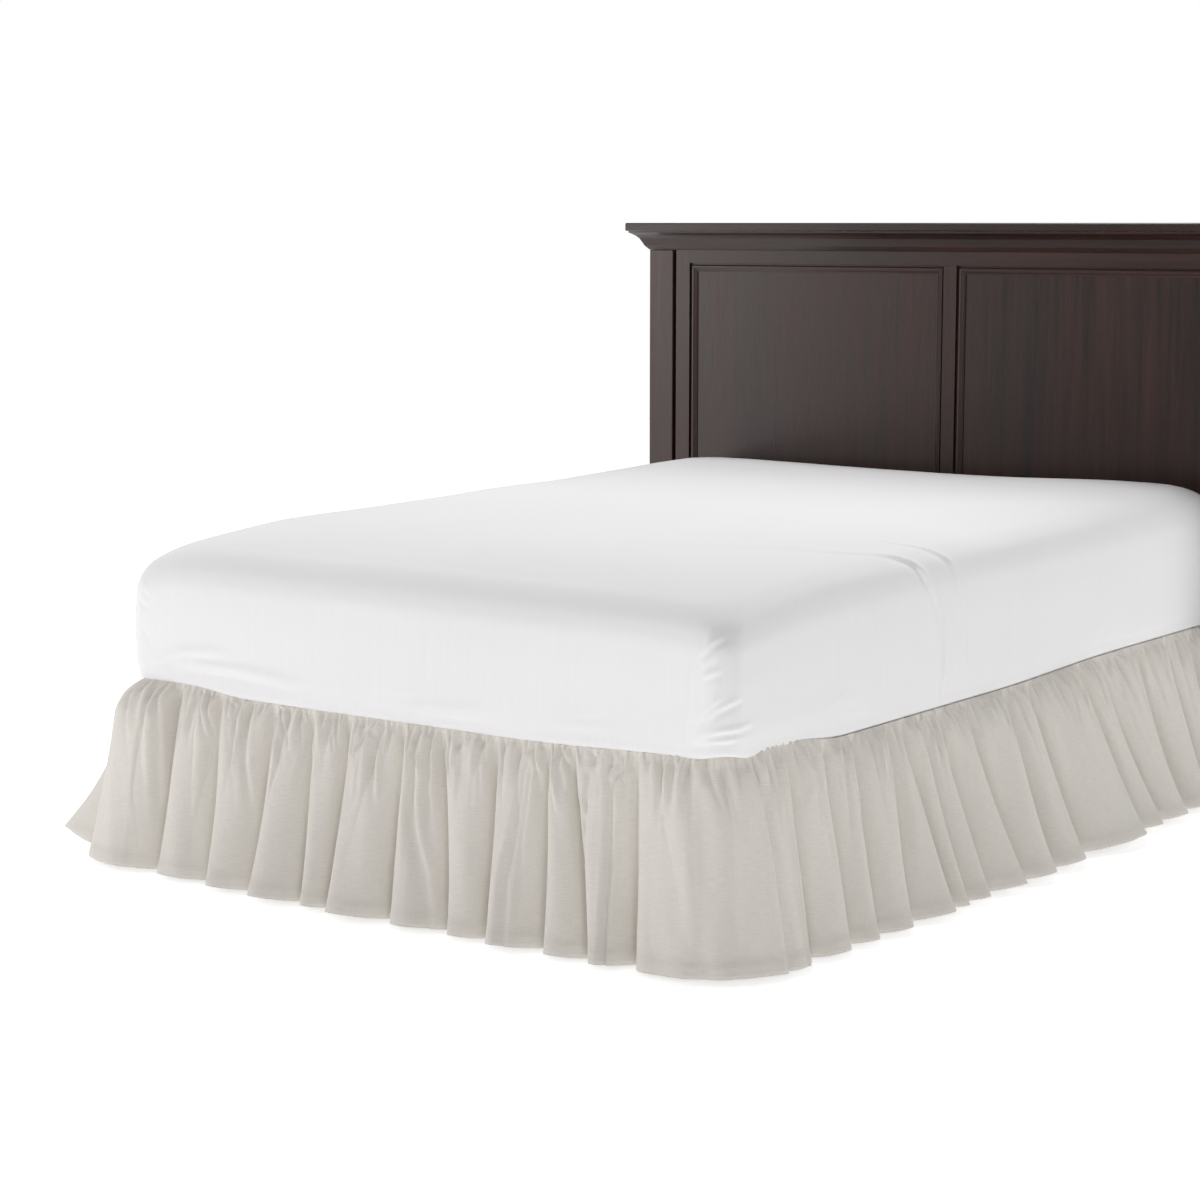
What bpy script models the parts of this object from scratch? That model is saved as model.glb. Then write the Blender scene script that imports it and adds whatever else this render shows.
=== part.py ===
"""A gathered bed skirt on a double bed, in metres, +Z up.

The skirt is a flat deck that lies between the mattress and the box spring, with a
gathered ruffle sewn round its left, foot and right edges. The bed under it is plain:
mattress, box spring, steel frame and a panelled wooden headboard.

The origin is on the floor under the middle of the mattress. +X is the right side of the
bed seen from its foot, and +Y runs from the foot to the head.
"""

import math

import bmesh
import bpy
from mathutils import Vector

# ---- Driving dimensions ----------------------------------------------------------------

GAP = 0.0003  # between pieces that touch
BED_WIDTH = 1.372
BED_LENGTH = 1.905
SKIRT_TOP = 0.357  # top face of the deck above the floor
HEM_CLEARANCE = 0.004  # lowest edge of the hem above the floor

# Deck and ruffle
DECK_THICKNESS = 0.0015
LEFT_CORNER = 0.05  # plan radius of the deck's foot corner on the left, pulled nearly square
RIGHT_CORNER = 0.11  # and on the right, and of the box spring's head corners
DECK_ROLL = 0.004  # radius at which the deck turns down over the box spring
DECK_LIP = 0.012  # how far the deck's rim hangs below its top face
DECK_HEAD_MARGIN = 0.010  # the deck stops this far short of the mattress's head end
CLOTH_THICKNESS = 0.002

# Mattress, in its fitted sheet
MATTRESS_LENGTH = 1.910
MATTRESS_CORNER = 0.045  # plan radius of its corners
MATTRESS_HEIGHT = 0.319  # in the middle of its top
# From the underside to the middle of the top, as (inset, height): how far the surface lies
# inside the plan outline, and how high it stands above the deck.
MATTRESS_PROFILE = (
    (0.0120, 0.0003),
    (0.0025, 0.0050),
    (-0.0030, 0.0300),
    (-0.0075, 0.1100),
    (-0.0065, 0.2000),
    (-0.0020, 0.2520),
    (0.0080, 0.2790),
    (0.0300, 0.2940),
    (0.0750, 0.3010),
    (0.1500, 0.3090),
    (0.3000, 0.3150),
    (0.4900, 0.3180),
    (0.6400, MATTRESS_HEIGHT),
)
MATTRESS_TILT = 0.022  # how much lower the top lies at the foot than at the head
FOOT_SLUMP = 0.026  # further fall of the top over its last stretch at the foot
FOOT_SLUMP_LENGTH = 0.36
CORNER_SLUMP = 0.020
CORNER_SLUMP_POWER = 6  # how closely that fall keeps to the two foot corners
HEAD_SQUARENESS = 0.012  # how much fuller the two long edges are at the head
MATTRESS_STEPS = 6  # facets round each corner and along each side

# Box spring and steel frame
BOX_HEIGHT = 0.203
BOX_MARGIN = 0.006  # the box spring stands this far inside the deck's rim
BOX_EDGE = 0.006  # width of its eased top and bottom edges
TUBE_WIDTH = 0.030
TUBE_HEIGHT = 0.040
SIDE_RAIL_X = 0.635
SIDE_RAIL_END = 0.920
CROSS_RAIL_Y = {"foot": -0.860, "middle": 0.0, "head": 0.860}
LEG_WIDTH = 0.032
GLIDE_WIDTH = 0.046
GLIDE_HEIGHT = 0.014
BRACKET_WIDTH = 0.024
BRACKET_HEIGHT = 0.028
TUBE_EASE = 0.003
STEEL_EASE = 0.002
GLIDE_EASE = 0.003

# Headboard
POST_OUTER_X = 0.855
POST_WIDTH = 0.071
POST_DEPTH = 0.045
HEADBOARD_FRONT = 0.976  # front face of the posts
HEADBOARD_TOP = 1.2275
CAP_THICKNESS = 0.0197
CAP_OVERHANG = 0.045
CAP_BACK_OVERHANG = 0.010
FRAME_SETBACK = 0.0025
FRAME_DEPTH = 0.030
GROOVE_WIDTH = 0.009  # shadow gap between each post and the panelled frame
GROOVE_DEPTH = 0.014
STILE_WIDTH = 0.040
CENTRE_STILE_WIDTH = 0.034
TOP_RAIL_HEIGHT = 0.0315
BOTTOM_RAIL_Z = (0.330, 0.400)
MOUNTING_RAIL_Z = (0.102, 0.168)
MOUNTING_RAIL_DEPTH = 0.022
PANEL_SETBACK = 0.0105
PANEL_DEPTH = 0.009
CAP_EASE = 0.0025
WOOD_EASE = 0.0015
# Crown moulding, as (overhang, drop): how far it stands out from the posts, and how far it
# lies below the cap.
CROWN_PROFILE = (
    (0.0000, 0.0465),
    (0.0035, 0.0430),
    (0.0095, 0.0360),
    (0.0135, 0.0280),
    (0.0190, 0.0180),
    (0.0265, 0.0110),
    (0.0345, 0.0060),
    (0.0382, 0.0040),
    (0.0382, 0.0003),
)
# Bead round each panel, as (inset, depth): distance in from the stile or rail, and
# distance behind the posts' front face.
BEAD_PROFILE = (
    (0.0000, 0.0102),
    (0.0000, 0.0098),
    (0.0040, 0.0098),
    (0.0045, 0.0055),
    (0.0070, 0.0040),
    (0.0105, 0.0038),
    (0.0135, 0.0050),
    (0.0175, 0.0078),
    (0.0210, 0.0090),
    (0.0210, 0.0102),
)

# ---- Folds of the ruffle ---------------------------------------------------------------
# Distances run along the deck's edge from the middle of the foot side, positive round the
# right side and negative round the left. Each row is one valley and the broad panel that
# follows it: where the valley lies at the hem and at the heading, how far the valley
# stands out at the hem, how far the panel puffs out just under the seam, how far its two
# shoulders stand out at the hem, and how much further its middle bows out there.
HEM, HEADING, INNER, PUFF, NEAR, FAR, BOW = range(7)

LEFT_FOLDS = (
    (-2.560, -2.560, 0.030, 0.018, 0.092, 0.086, 0.004),
    (-2.450, -2.466, 0.022, 0.014, 0.104, 0.090, 0.006),
    (-2.344, -2.351, 0.030, 0.020, 0.098, 0.104, 0.003),
    (-2.219, -2.241, 0.026, 0.016, 0.088, 0.108, 0.005),
    (-2.104, -2.106, 0.034, 0.013, 0.112, 0.094, 0.003),
    (-1.988, -2.006, 0.024, 0.019, 0.096, 0.110, 0.006),
    (-1.852, -1.861, 0.030, 0.015, 0.106, 0.098, 0.003),
    (-1.738, -1.756, 0.022, 0.018, 0.090, 0.112, 0.004),
    (-1.630, -1.626, 0.028, 0.012, 0.108, 0.092, 0.006),
    (-1.504, -1.521, 0.034, 0.020, 0.098, 0.104, 0.002),
    (-1.396, -1.401, 0.026, 0.016, 0.086, 0.106, 0.005),
    (-1.288, -1.306, 0.022, 0.014, 0.110, 0.090, 0.004),
    (-1.158, -1.166, 0.030, 0.019, 0.094, 0.108, 0.003),
    (-1.048, -1.066, 0.026, 0.015, 0.104, 0.096, 0.005),
    (-0.941, -0.946, 0.034, 0.018, 0.100, 0.112, 0.003),
)
FOOT_FOLDS = (
    (-0.826, -0.838, 0.040, 0.036, 0.120, 0.235, 0.000),
    (-0.690, -0.700, 0.085, 0.046, 0.145, 0.062, -0.006),
    (-0.568, -0.565, 0.030, 0.022, 0.096, 0.064, 0.004),
    (-0.424, -0.460, 0.024, 0.018, 0.114, 0.072, 0.005),
    (-0.305, -0.322, 0.030, 0.015, 0.128, 0.090, 0.004),
    (-0.182, -0.225, 0.044, 0.019, 0.116, 0.096, 0.002),
    (-0.112, -0.138, 0.034, 0.014, 0.130, 0.082, 0.006),
    (0.025, -0.007, 0.028, 0.020, 0.110, 0.068, 0.005),
    (0.154, 0.083, 0.030, 0.017, 0.108, 0.078, 0.003),
    (0.242, 0.203, 0.024, 0.015, 0.114, 0.060, 0.005),
    (0.359, 0.316, 0.026, 0.019, 0.100, 0.070, 0.003),
    (0.457, 0.371, 0.024, 0.014, 0.106, 0.052, 0.004),
    (0.538, 0.504, 0.022, 0.017, 0.076, 0.082, -0.020),
)
RIGHT_FOLDS = (
    (0.800, 0.806, 0.030, 0.018, 0.074, 0.090, 0.003),
    (0.903, 0.925, 0.024, 0.016, 0.072, 0.104, 0.003),
    (0.985, 1.017, 0.028, 0.020, 0.080, 0.106, 0.004),
    (1.086, 1.135, 0.022, 0.017, 0.074, 0.122, 0.003),
    (1.217, 1.188, 0.042, 0.019, 0.106, 0.116, 0.002),
    (1.266, 1.247, 0.034, 0.014, 0.100, 0.120, 0.003),
    (1.347, 1.320, 0.026, 0.018, 0.092, 0.132, 0.004),
    (1.464, 1.410, 0.032, 0.021, 0.118, 0.134, 0.003),
    (1.579, 1.570, 0.028, 0.016, 0.120, 0.110, 0.006),
    (1.733, 1.665, 0.034, 0.020, 0.102, 0.130, 0.004),
    (1.979, 1.880, 0.028, 0.022, 0.104, 0.114, 0.002),
    (2.081, 1.965, 0.036, 0.015, 0.106, 0.114, 0.004),
    (2.206, 2.140, 0.028, 0.018, 0.100, 0.116, 0.005),
    (2.318, 2.290, 0.032, 0.014, 0.104, 0.108, 0.003),
    (2.428, 2.410, 0.026, 0.019, 0.098, 0.104, 0.005),
)
LAST_VALLEY = (2.534, 2.534, 0.030, 0.017, 0.030, 0.030, 0.000)

# How the folds open between the heading (share 0) and the hem (share 1).
ROW_SHARES = (0.0, 0.045, 0.14, 0.34, 0.64, 1.0)
GATHER_DEPTH = (0.0015, 0.0055, 0.0030, 0.0008, 0.0, 0.0)  # small pleats, one for each row
GATHER_TURN = 2.5  # radians of the pleats' wave from one sample to the next
SAMPLES_PER_CONTROL = 1.7
PANEL_SPAN = 0.040  # a broad panel has a control point about this often
PUFF_SHARE = 0.05  # the puff under the seam is full by here
VALLEY_PUFF = 0.004
SEAM_OUT = 0.0019  # from the deck's rim to the middle of the cloth sewn to it
SEAM_DROP = 0.0045  # from the deck's top face down to the ruffle's top edge
FLARE_POWER = 1.2
HEM_LIFT = 0.5  # share of its slant by which a flared panel lifts the hem
VALLEY_MOUTH = 0.009  # from a valley's line to its half-open mouth
VALLEY_MOUTH_SHARE = 0.16  # the same as a share of a narrow panel's width, at most
SHOULDER_BACK = 0.015  # from a valley's line to the next panel's shoulder
SHOULDER_BACK_SHARE = 0.24

# ---- Materials: colour, roughness, metallic --------------------------------------------
MATERIALS = {
    "skirt_cloth": ((0.62, 0.59, 0.55), 0.85, 0.0),
    "deck_cloth": ((0.66, 0.64, 0.61), 0.90, 0.0),
    "sheet_cloth": ((0.86, 0.86, 0.87), 0.80, 0.0),
    "ticking": ((0.80, 0.79, 0.77), 0.85, 0.0),
    "frame_steel": ((0.05, 0.05, 0.055), 0.45, 0.6),
    "glide_plastic": ((0.06, 0.06, 0.06), 0.60, 0.0),
    "dark_wood": ((0.045, 0.025, 0.020), 0.35, 0.0),
}


SMOOTH_ANGLE = math.radians(40)  # edges sharper than this stay sharp


def clear_scene():
    """Removes whatever the file opened with."""
    for old in list(bpy.data.objects):
        bpy.data.objects.remove(old)


def material(slot):
    """The Principled material of that slot, made the first time that it is asked for."""
    found = bpy.data.materials.get(slot)
    if found:
        return found
    colour, roughness, metallic = MATERIALS[slot]
    made = bpy.data.materials.new(slot)
    made.use_nodes = True
    shader = made.node_tree.nodes["Principled BSDF"]
    shader.inputs["Base Color"].default_value = (*colour, 1.0)
    shader.inputs["Roughness"].default_value = roughness
    shader.inputs["Metallic"].default_value = metallic
    return made


def add_object(name, bm, slot, smooth=False):
    """Links the bmesh as one named object with the slot's material."""
    mesh = bpy.data.meshes.new(name)
    bm.to_mesh(mesh)
    bm.free()
    mesh.materials.append(material(slot))
    if smooth:
        mesh.shade_smooth()
        mesh.set_sharp_from_angle(angle=SMOOTH_ANGLE)
    piece = bpy.data.objects.new(name, mesh)
    bpy.context.scene.collection.objects.link(piece)
    return piece


def block(name, low, high, slot, bevel=0.0):
    """A box between two corners, with its edges eased by a Bevel modifier."""
    low, high = Vector(low), Vector(high)
    bm = bmesh.new()
    bmesh.ops.create_cube(bm, size=1.0)
    bmesh.ops.scale(bm, vec=high - low, verts=bm.verts)
    piece = add_object(name, bm, slot)
    piece.location = (low + high) / 2
    if bevel:
        ease = piece.modifiers.new("eased edges", "BEVEL")
        ease.width = bevel
        ease.segments = 1
    return piece


def loft(name, rings, slot, smooth=False):
    """A closed solid through rings of equal length, capped at both ends."""
    bm = bmesh.new()
    made = [[bm.verts.new(point) for point in ring] for ring in rings]
    for below, above in zip(made, made[1:]):
        for i, corner in enumerate(below):
            j = (i + 1) % len(below)
            bm.faces.new((corner, below[j], above[j], above[i]))
    bm.faces.new(list(reversed(made[0])))
    bm.faces.new(made[-1])
    bmesh.ops.recalc_face_normals(bm, faces=bm.faces)
    return add_object(name, bm, slot, smooth)


def sheet(name, lines, slot, thickness, offset, smooth=False, covered=False):
    """An open sheet through lines of points, thickened by a Solidify modifier.

    Seen from outside, the lines run from top to bottom and each goes from left to right.
    A covered sheet also has one face across its top line.
    """
    bm = bmesh.new()
    made = [[bm.verts.new(point) for point in line] for line in lines]
    for upper, lower in zip(made, made[1:]):
        for i in range(len(upper) - 1):
            bm.faces.new((upper[i], lower[i], lower[i + 1], upper[i + 1]))
    if covered:
        bm.faces.new(made[0])
    piece = add_object(name, bm, slot, smooth)
    thick = piece.modifiers.new("thickness", "SOLIDIFY")
    thick.thickness = thickness
    thick.offset = offset
    return piece


def mix(a, b, share):
    """The value that share of the way from a to b."""
    return a + (b - a) * share


# ---- The deck's edge -------------------------------------------------------------------

EDGE_X = BED_WIDTH / 2
FOOT_Y = -BED_LENGTH / 2
HEAD_Y = BED_LENGTH / 2 - DECK_HEAD_MARGIN
CORNER_STEPS = 8


def edge_point(along, out):
    """Plan position at a distance along the deck's edge and a distance out from it."""
    side = math.copysign(1.0, along)
    corner = RIGHT_CORNER if along > 0 else LEFT_CORNER
    straight, past = EDGE_X - corner, abs(along) - EDGE_X + corner
    if past <= 0:
        return along, FOOT_Y - out
    if past <= corner * math.pi / 2:
        turn = past / corner
        x = straight + (corner + out) * math.sin(turn)
        return side * x, FOOT_Y + corner - (corner + out) * math.cos(turn)
    return side * (EDGE_X + out), FOOT_Y + corner + past - corner * math.pi / 2


def edge_runs(corner):
    """Distances along the edge of a foot corner's points and of the edge's end."""
    straight, arc = EDGE_X - corner, corner * math.pi / 2
    runs = [straight + arc * step / CORNER_STEPS for step in range(CORNER_STEPS + 1)]
    return [*runs, straight + arc + HEAD_Y - FOOT_Y - corner]


def make_deck():
    """The flat panel on the box spring, its rim turned down on three sides."""
    runs = [-run for run in reversed(edge_runs(LEFT_CORNER))] + edge_runs(RIGHT_CORNER)
    turned = DECK_ROLL * (1 - math.sqrt(0.5))
    profile = (
        (-DECK_ROLL, SKIRT_TOP),
        (-turned, SKIRT_TOP - turned),
        (0.0, SKIRT_TOP - DECK_ROLL),
        (0.0, SKIRT_TOP - DECK_LIP),
    )
    lines = [[(*edge_point(run, out), z) for run in runs] for out, z in profile]
    deck = sheet("deck", lines, "deck_cloth", DECK_THICKNESS, -1.0, covered=True)
    deck.modifiers["thickness"].use_even_offset = True


# ---- The ruffle ------------------------------------------------------------------------


def opened(puff, hem_out, share):
    """How far a fold line stands out at a share of the way down to the hem."""
    if share < PUFF_SHARE:
        return mix(SEAM_OUT, puff, math.sin(math.pi / 2 * share / PUFF_SHARE))
    below = (share - PUFF_SHARE) / (1 - PUFF_SHARE)
    return mix(puff, hem_out, below**FLARE_POWER)


def panel_controls(fold, following, share):
    """Control points (along, out) of one valley and the panel after it, at one height."""
    start = mix(fold[HEADING], fold[HEM], share)
    end = mix(following[HEADING], following[HEM], share)
    valley = opened(VALLEY_PUFF, fold[INNER], share)
    next_valley = opened(VALLEY_PUFF, following[INNER], share)
    near = opened(fold[PUFF], fold[NEAR], share)
    far = opened(fold[PUFF], fold[FAR], share)
    mouth = min(VALLEY_MOUTH, VALLEY_MOUTH_SHARE * (end - start))
    shoulder = min(SHOULDER_BACK, SHOULDER_BACK_SHARE * (end - start))
    controls = [(start, valley), (start + mouth, mix(valley, near, 0.5))]
    spans = max(2, round((following[HEM] - fold[HEM]) / PANEL_SPAN))
    for step in range(spans + 1):
        across = step / spans
        out = mix(near, far, across) + fold[BOW] * share * math.sin(math.pi * across)
        controls.append((mix(start + shoulder, end - shoulder, across), out))
    controls.append((end - mouth, mix(next_valley, far, 0.5)))
    return controls


def spline_point(controls, position):
    """A point of the cubic B-spline that starts and ends on its outer control points."""
    last = len(controls) - 1
    first = min(int(position), last - 1)
    t = position - first
    before = controls[first - 1] if first else mirrored(controls[1], controls[0])
    after = controls[first + 2] if first < last - 1 else mirrored(controls[-2], controls[-1])
    picked = (before, controls[first], controls[first + 1], after)
    weights = (
        (1 - t) ** 3 / 6,
        (3 * t**3 - 6 * t**2 + 4) / 6,
        (-3 * t**3 + 3 * t**2 + 3 * t + 1) / 6,
        t**3 / 6,
    )
    return tuple(sum(w * point[axis] for w, point in zip(weights, picked)) for axis in (0, 1))


def mirrored(point, centre):
    """The point on the other side of the centre."""
    return tuple(2 * c - p for p, c in zip(point, centre))


def ruffle_line(folds, ending, share, pleat):
    """Points (along, out) of a ruffle strip at one height, with small pleats added."""
    controls = []
    for fold, following in zip(folds, (*folds[1:], ending)):
        controls.extend(panel_controls(fold, following, share))
    end = mix(ending[HEADING], ending[HEM], share)
    controls.append((end, opened(VALLEY_PUFF, ending[INNER], share)))
    half_cloth = (CLOTH_THICKNESS + GAP) / 2
    low, high = controls[0][0] + half_cloth, end - half_cloth
    steps = round((len(controls) - 1) * SAMPLES_PER_CONTROL)
    points = []
    for step in range(steps + 1):
        along, out = spline_point(controls, (len(controls) - 1) * step / steps)
        wave = math.sin(GATHER_TURN * step)
        points.append((min(max(along, low), high), max(out + wave * pleat, SEAM_OUT)))
    return points


def make_ruffle_strip(name, folds, ending):
    """One strip of the ruffle, gathered at its top edge and flaring to its hem."""
    heading_z = SKIRT_TOP - SEAM_DROP
    cut_length = heading_z - HEM_CLEARANCE
    lines = []
    for share, pleat in zip(ROW_SHARES, GATHER_DEPTH):
        line = []
        for along, out in ruffle_line(folds, ending, share, pleat):
            slant = math.sqrt(cut_length**2 - (out * share) ** 2)
            drop = share * mix(cut_length, slant, HEM_LIFT)
            line.append((*edge_point(along, out), heading_z - drop))
        lines.append(line)
    sheet(name, lines, "skirt_cloth", CLOTH_THICKNESS, 0.0, smooth=True)


# ---- Mattress and box spring -----------------------------------------------------------


def rounded_outline(half_x, half_y, radii, corner_steps, side_steps):
    """Plan points of a rounded rectangle, anticlockwise, with points along its sides too.

    Its radii are those of the head-right, head-left, foot-left and foot-right corners.
    """
    arcs = []
    signs = ((1, 1), (-1, 1), (-1, -1), (1, -1))
    for quarter, ((sign_x, sign_y), radius) in enumerate(zip(signs, radii)):
        centre = Vector((sign_x * (half_x - radius), sign_y * (half_y - radius)))
        turns = [math.radians(90) * (quarter + step / corner_steps) for step in range(corner_steps + 1)]
        arcs.append([centre + radius * Vector((math.cos(turn), math.sin(turn))) for turn in turns])
    points = []
    for arc, following in zip(arcs, arcs[1:] + arcs[:1]):
        points.extend(arc)
        side = (arc[-1].lerp(following[0], step / side_steps) for step in range(1, side_steps))
        points.extend(side)
    return points


def slump(x, y):
    """Share of its height by which the mattress has sunk there, most at the foot."""
    down_bed = 0.5 - y / BED_LENGTH
    foot = max(0.0, (FOOT_SLUMP_LENGTH - (y - FOOT_Y)) / FOOT_SLUMP_LENGTH)
    corner = (abs(x) / EDGE_X) ** CORNER_SLUMP_POWER * foot
    head = HEAD_SQUARENESS * (x / EDGE_X) ** 2 * max(0.0, 1 - 2 * down_bed) ** 2
    drop = MATTRESS_TILT * down_bed + FOOT_SLUMP * foot**2 + CORNER_SLUMP * corner - head
    return drop / MATTRESS_HEIGHT


def make_mattress():
    """The mattress: a soft rounded block whose top is crowned and lower at the foot."""
    rings = []
    for inset, height in MATTRESS_PROFILE:
        half_x, half_y = EDGE_X - inset, MATTRESS_LENGTH / 2 - inset
        radii = (min(MATTRESS_CORNER, half_x),) * 4
        outline = rounded_outline(half_x, half_y, radii, MATTRESS_STEPS, MATTRESS_STEPS)
        rings.append([(p.x, p.y, SKIRT_TOP + height * (1 - slump(p.x, p.y))) for p in outline])
    loft("mattress", rings, "sheet_cloth", smooth=True)


def make_box_spring():
    """A plain block with the deck's rounded corners; gives the height of its underside."""
    top = SKIRT_TOP - DECK_THICKNESS - GAP
    bottom = top - BOX_HEIGHT
    profile = ((BOX_EDGE, bottom), (0.0, bottom + BOX_EDGE), (0.0, top - BOX_EDGE), (BOX_EDGE, top))
    rings = []
    for inset, z in profile:
        margin = BOX_MARGIN + inset
        radii = [RIGHT_CORNER - margin] * 4
        radii[2] = LEFT_CORNER - margin
        outline = rounded_outline(
            EDGE_X - margin, BED_LENGTH / 2 - margin, radii, CORNER_STEPS, 1
        )
        rings.append([(p.x, p.y, z) for p in outline])
    loft("box_spring", rings, "ticking")
    return bottom


# ---- Steel frame -----------------------------------------------------------------------


def make_leg(name, x, y, rail_bottom):
    """A square leg on its glide."""
    half = LEG_WIDTH / 2
    block(
        f"leg_{name}",
        (x - half, y - half, GLIDE_HEIGHT + GAP),
        (x + half, y + half, rail_bottom - GAP),
        "frame_steel",
        bevel=STEEL_EASE,
    )
    half = GLIDE_WIDTH / 2
    block(
        f"glide_{name}",
        (x - half, y - half, 0.0),
        (x + half, y + half, GLIDE_HEIGHT),
        "glide_plastic",
        bevel=GLIDE_EASE,
    )


def make_frame(box_bottom):
    """Side rails, cross rails, legs and the brackets that hold the headboard."""
    top = box_bottom - GAP
    bottom = top - TUBE_HEIGHT
    half = TUBE_WIDTH / 2
    bracket_end = HEADBOARD_FRONT + FRAME_SETBACK - GAP
    for side, sign in (("left", -1), ("right", 1)):
        x = sign * SIDE_RAIL_X
        block(
            f"side_rail_{side}",
            (x - half, -SIDE_RAIL_END, bottom),
            (x + half, SIDE_RAIL_END, top),
            "frame_steel",
            bevel=TUBE_EASE,
        )
        middle = (top + bottom) / 2
        block(
            f"headboard_bracket_{side}",
            (x - BRACKET_WIDTH / 2, SIDE_RAIL_END + GAP, middle - BRACKET_HEIGHT / 2),
            (x + BRACKET_WIDTH / 2, bracket_end, middle + BRACKET_HEIGHT / 2),
            "frame_steel",
            bevel=STEEL_EASE,
        )
        for place, y in CROSS_RAIL_Y.items():
            make_leg(f"{side}_{place}", x, y, bottom)
    reach = SIDE_RAIL_X - half - GAP
    for place, y in CROSS_RAIL_Y.items():
        block(
            f"cross_rail_{place}",
            (-reach, y - half, bottom),
            (reach, y + half, top),
            "frame_steel",
            bevel=TUBE_EASE,
        )
    make_leg("centre", 0.0, CROSS_RAIL_Y["middle"], bottom)


# ---- Headboard -------------------------------------------------------------------------


def make_cap():
    """The cap board and the crown moulding round its ends; gives the height under them."""
    back = HEADBOARD_FRONT + POST_DEPTH
    cap_bottom = HEADBOARD_TOP - CAP_THICKNESS
    cap_x, cap_front = POST_OUTER_X + CAP_OVERHANG, HEADBOARD_FRONT - CAP_OVERHANG
    block(
        "headboard_cap",
        (-cap_x, cap_front, cap_bottom),
        (cap_x, back + CAP_BACK_OVERHANG, HEADBOARD_TOP),
        "dark_wood",
        bevel=CAP_EASE,
    )
    rings = []
    for overhang, below in CROWN_PROFILE:
        x, front, z = POST_OUTER_X + overhang, HEADBOARD_FRONT - overhang, cap_bottom - below
        rings.append([(-x, front, z), (x, front, z), (x, back, z), (-x, back, z)])
    loft("crown_moulding", rings, "dark_wood")
    return cap_bottom - CROWN_PROFILE[0][1] - GAP


def make_posts_and_rails(top):
    """Posts, stiles and rails; gives the reach in x and in z of the panels between them."""
    front = HEADBOARD_FRONT + FRAME_SETBACK
    back = front + FRAME_DEPTH
    inner = POST_OUTER_X - POST_WIDTH
    stile_outer = inner - GROOVE_WIDTH
    stile_inner = stile_outer - STILE_WIDTH
    for side, sign in (("left", -1), ("right", 1)):
        post = sorted((sign * inner, sign * POST_OUTER_X))
        block(
            f"post_{side}",
            (post[0], HEADBOARD_FRONT, 0.0),
            (post[1], HEADBOARD_FRONT + POST_DEPTH, top),
            "dark_wood",
            bevel=WOOD_EASE,
        )
        plan = (
            (stile_inner, front),
            (stile_outer, front),
            (stile_outer, front + GROOVE_DEPTH),
            (inner - GAP, front + GROOVE_DEPTH),
            (inner - GAP, back),
            (stile_inner, back),
        )
        rings = [[(sign * x, y, z) for x, y in plan] for z in (BOTTOM_RAIL_Z[0], top)]
        loft(f"stile_{side}", rings, "dark_wood")
    reach = stile_inner - GAP
    rail_bottom = top - TOP_RAIL_HEIGHT
    block("top_rail", (-reach, front, rail_bottom), (reach, back, top), "dark_wood")
    low, high = BOTTOM_RAIL_Z
    block("bottom_rail", (-reach, front, low), (reach, back, high), "dark_wood")
    half = CENTRE_STILE_WIDTH / 2
    block(
        "stile_centre",
        (-half, front, high + GAP),
        (half, back, rail_bottom - GAP),
        "dark_wood",
    )
    low, high = MOUNTING_RAIL_Z
    reach = inner - GAP
    block(
        "mounting_rail",
        (-reach, front, low),
        (reach, front + MOUNTING_RAIL_DEPTH, high),
        "dark_wood",
        bevel=WOOD_EASE,
    )
    return half + GAP, stile_inner - GAP, BOTTOM_RAIL_Z[1] + GAP, rail_bottom - GAP


def make_bead(name, corner_a, corner_b, inward):
    """One mitred stretch of bead between two corners (x, z) of a panel's opening."""
    along = (corner_b - corner_a).normalized()
    rings = []
    for corner, sign in ((corner_a, 1), (corner_b, -1)):
        ring = []
        for inset, behind in BEAD_PROFILE:
            point = corner + inward * inset + along * sign * (inset + GAP)
            ring.append((point.x, HEADBOARD_FRONT + behind, point.y))
        rings.append(ring)
    loft(name, rings, "dark_wood")


def make_panels(inner_x, outer_x, low_z, high_z):
    """Two recessed panels, each held by four mitred beads."""
    front = HEADBOARD_FRONT + PANEL_SETBACK
    for side, sign in (("left", -1), ("right", 1)):
        x = sorted((sign * inner_x, sign * outer_x))
        block(
            f"panel_{side}",
            (x[0], front, low_z),
            (x[1], front + PANEL_DEPTH, high_z),
            "dark_wood",
        )
        corners = [Vector(c) for c in ((x[0], low_z), (x[1], low_z), (x[1], high_z), (x[0], high_z))]
        sides = (
            ("bottom", Vector((0, 1))),
            ("right", Vector((-1, 0))),
            ("top", Vector((0, -1))),
            ("left", Vector((1, 0))),
        )
        for i, (edge, inward) in enumerate(sides):
            make_bead(f"bead_{side}_{edge}", corners[i], corners[(i + 1) % 4], inward)


clear_scene()
make_deck()
make_ruffle_strip("ruffle_left", LEFT_FOLDS, FOOT_FOLDS[0])
make_ruffle_strip("ruffle_foot", FOOT_FOLDS, RIGHT_FOLDS[0])
make_ruffle_strip("ruffle_right", RIGHT_FOLDS, LAST_VALLEY)
make_mattress()
make_frame(make_box_spring())
make_panels(*make_posts_and_rails(make_cap()))
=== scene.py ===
"""The looks of a gathered bed skirt, on the bed that it hangs round. Metres, +Z up.

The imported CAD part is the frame. Its soft solids are stood for by finer meshes: the
gathered ruffle and its deck, the mattress in its fitted sheet, and the box spring. Its
rigid parts keep their shape and get their finish here.
"""

import math

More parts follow.
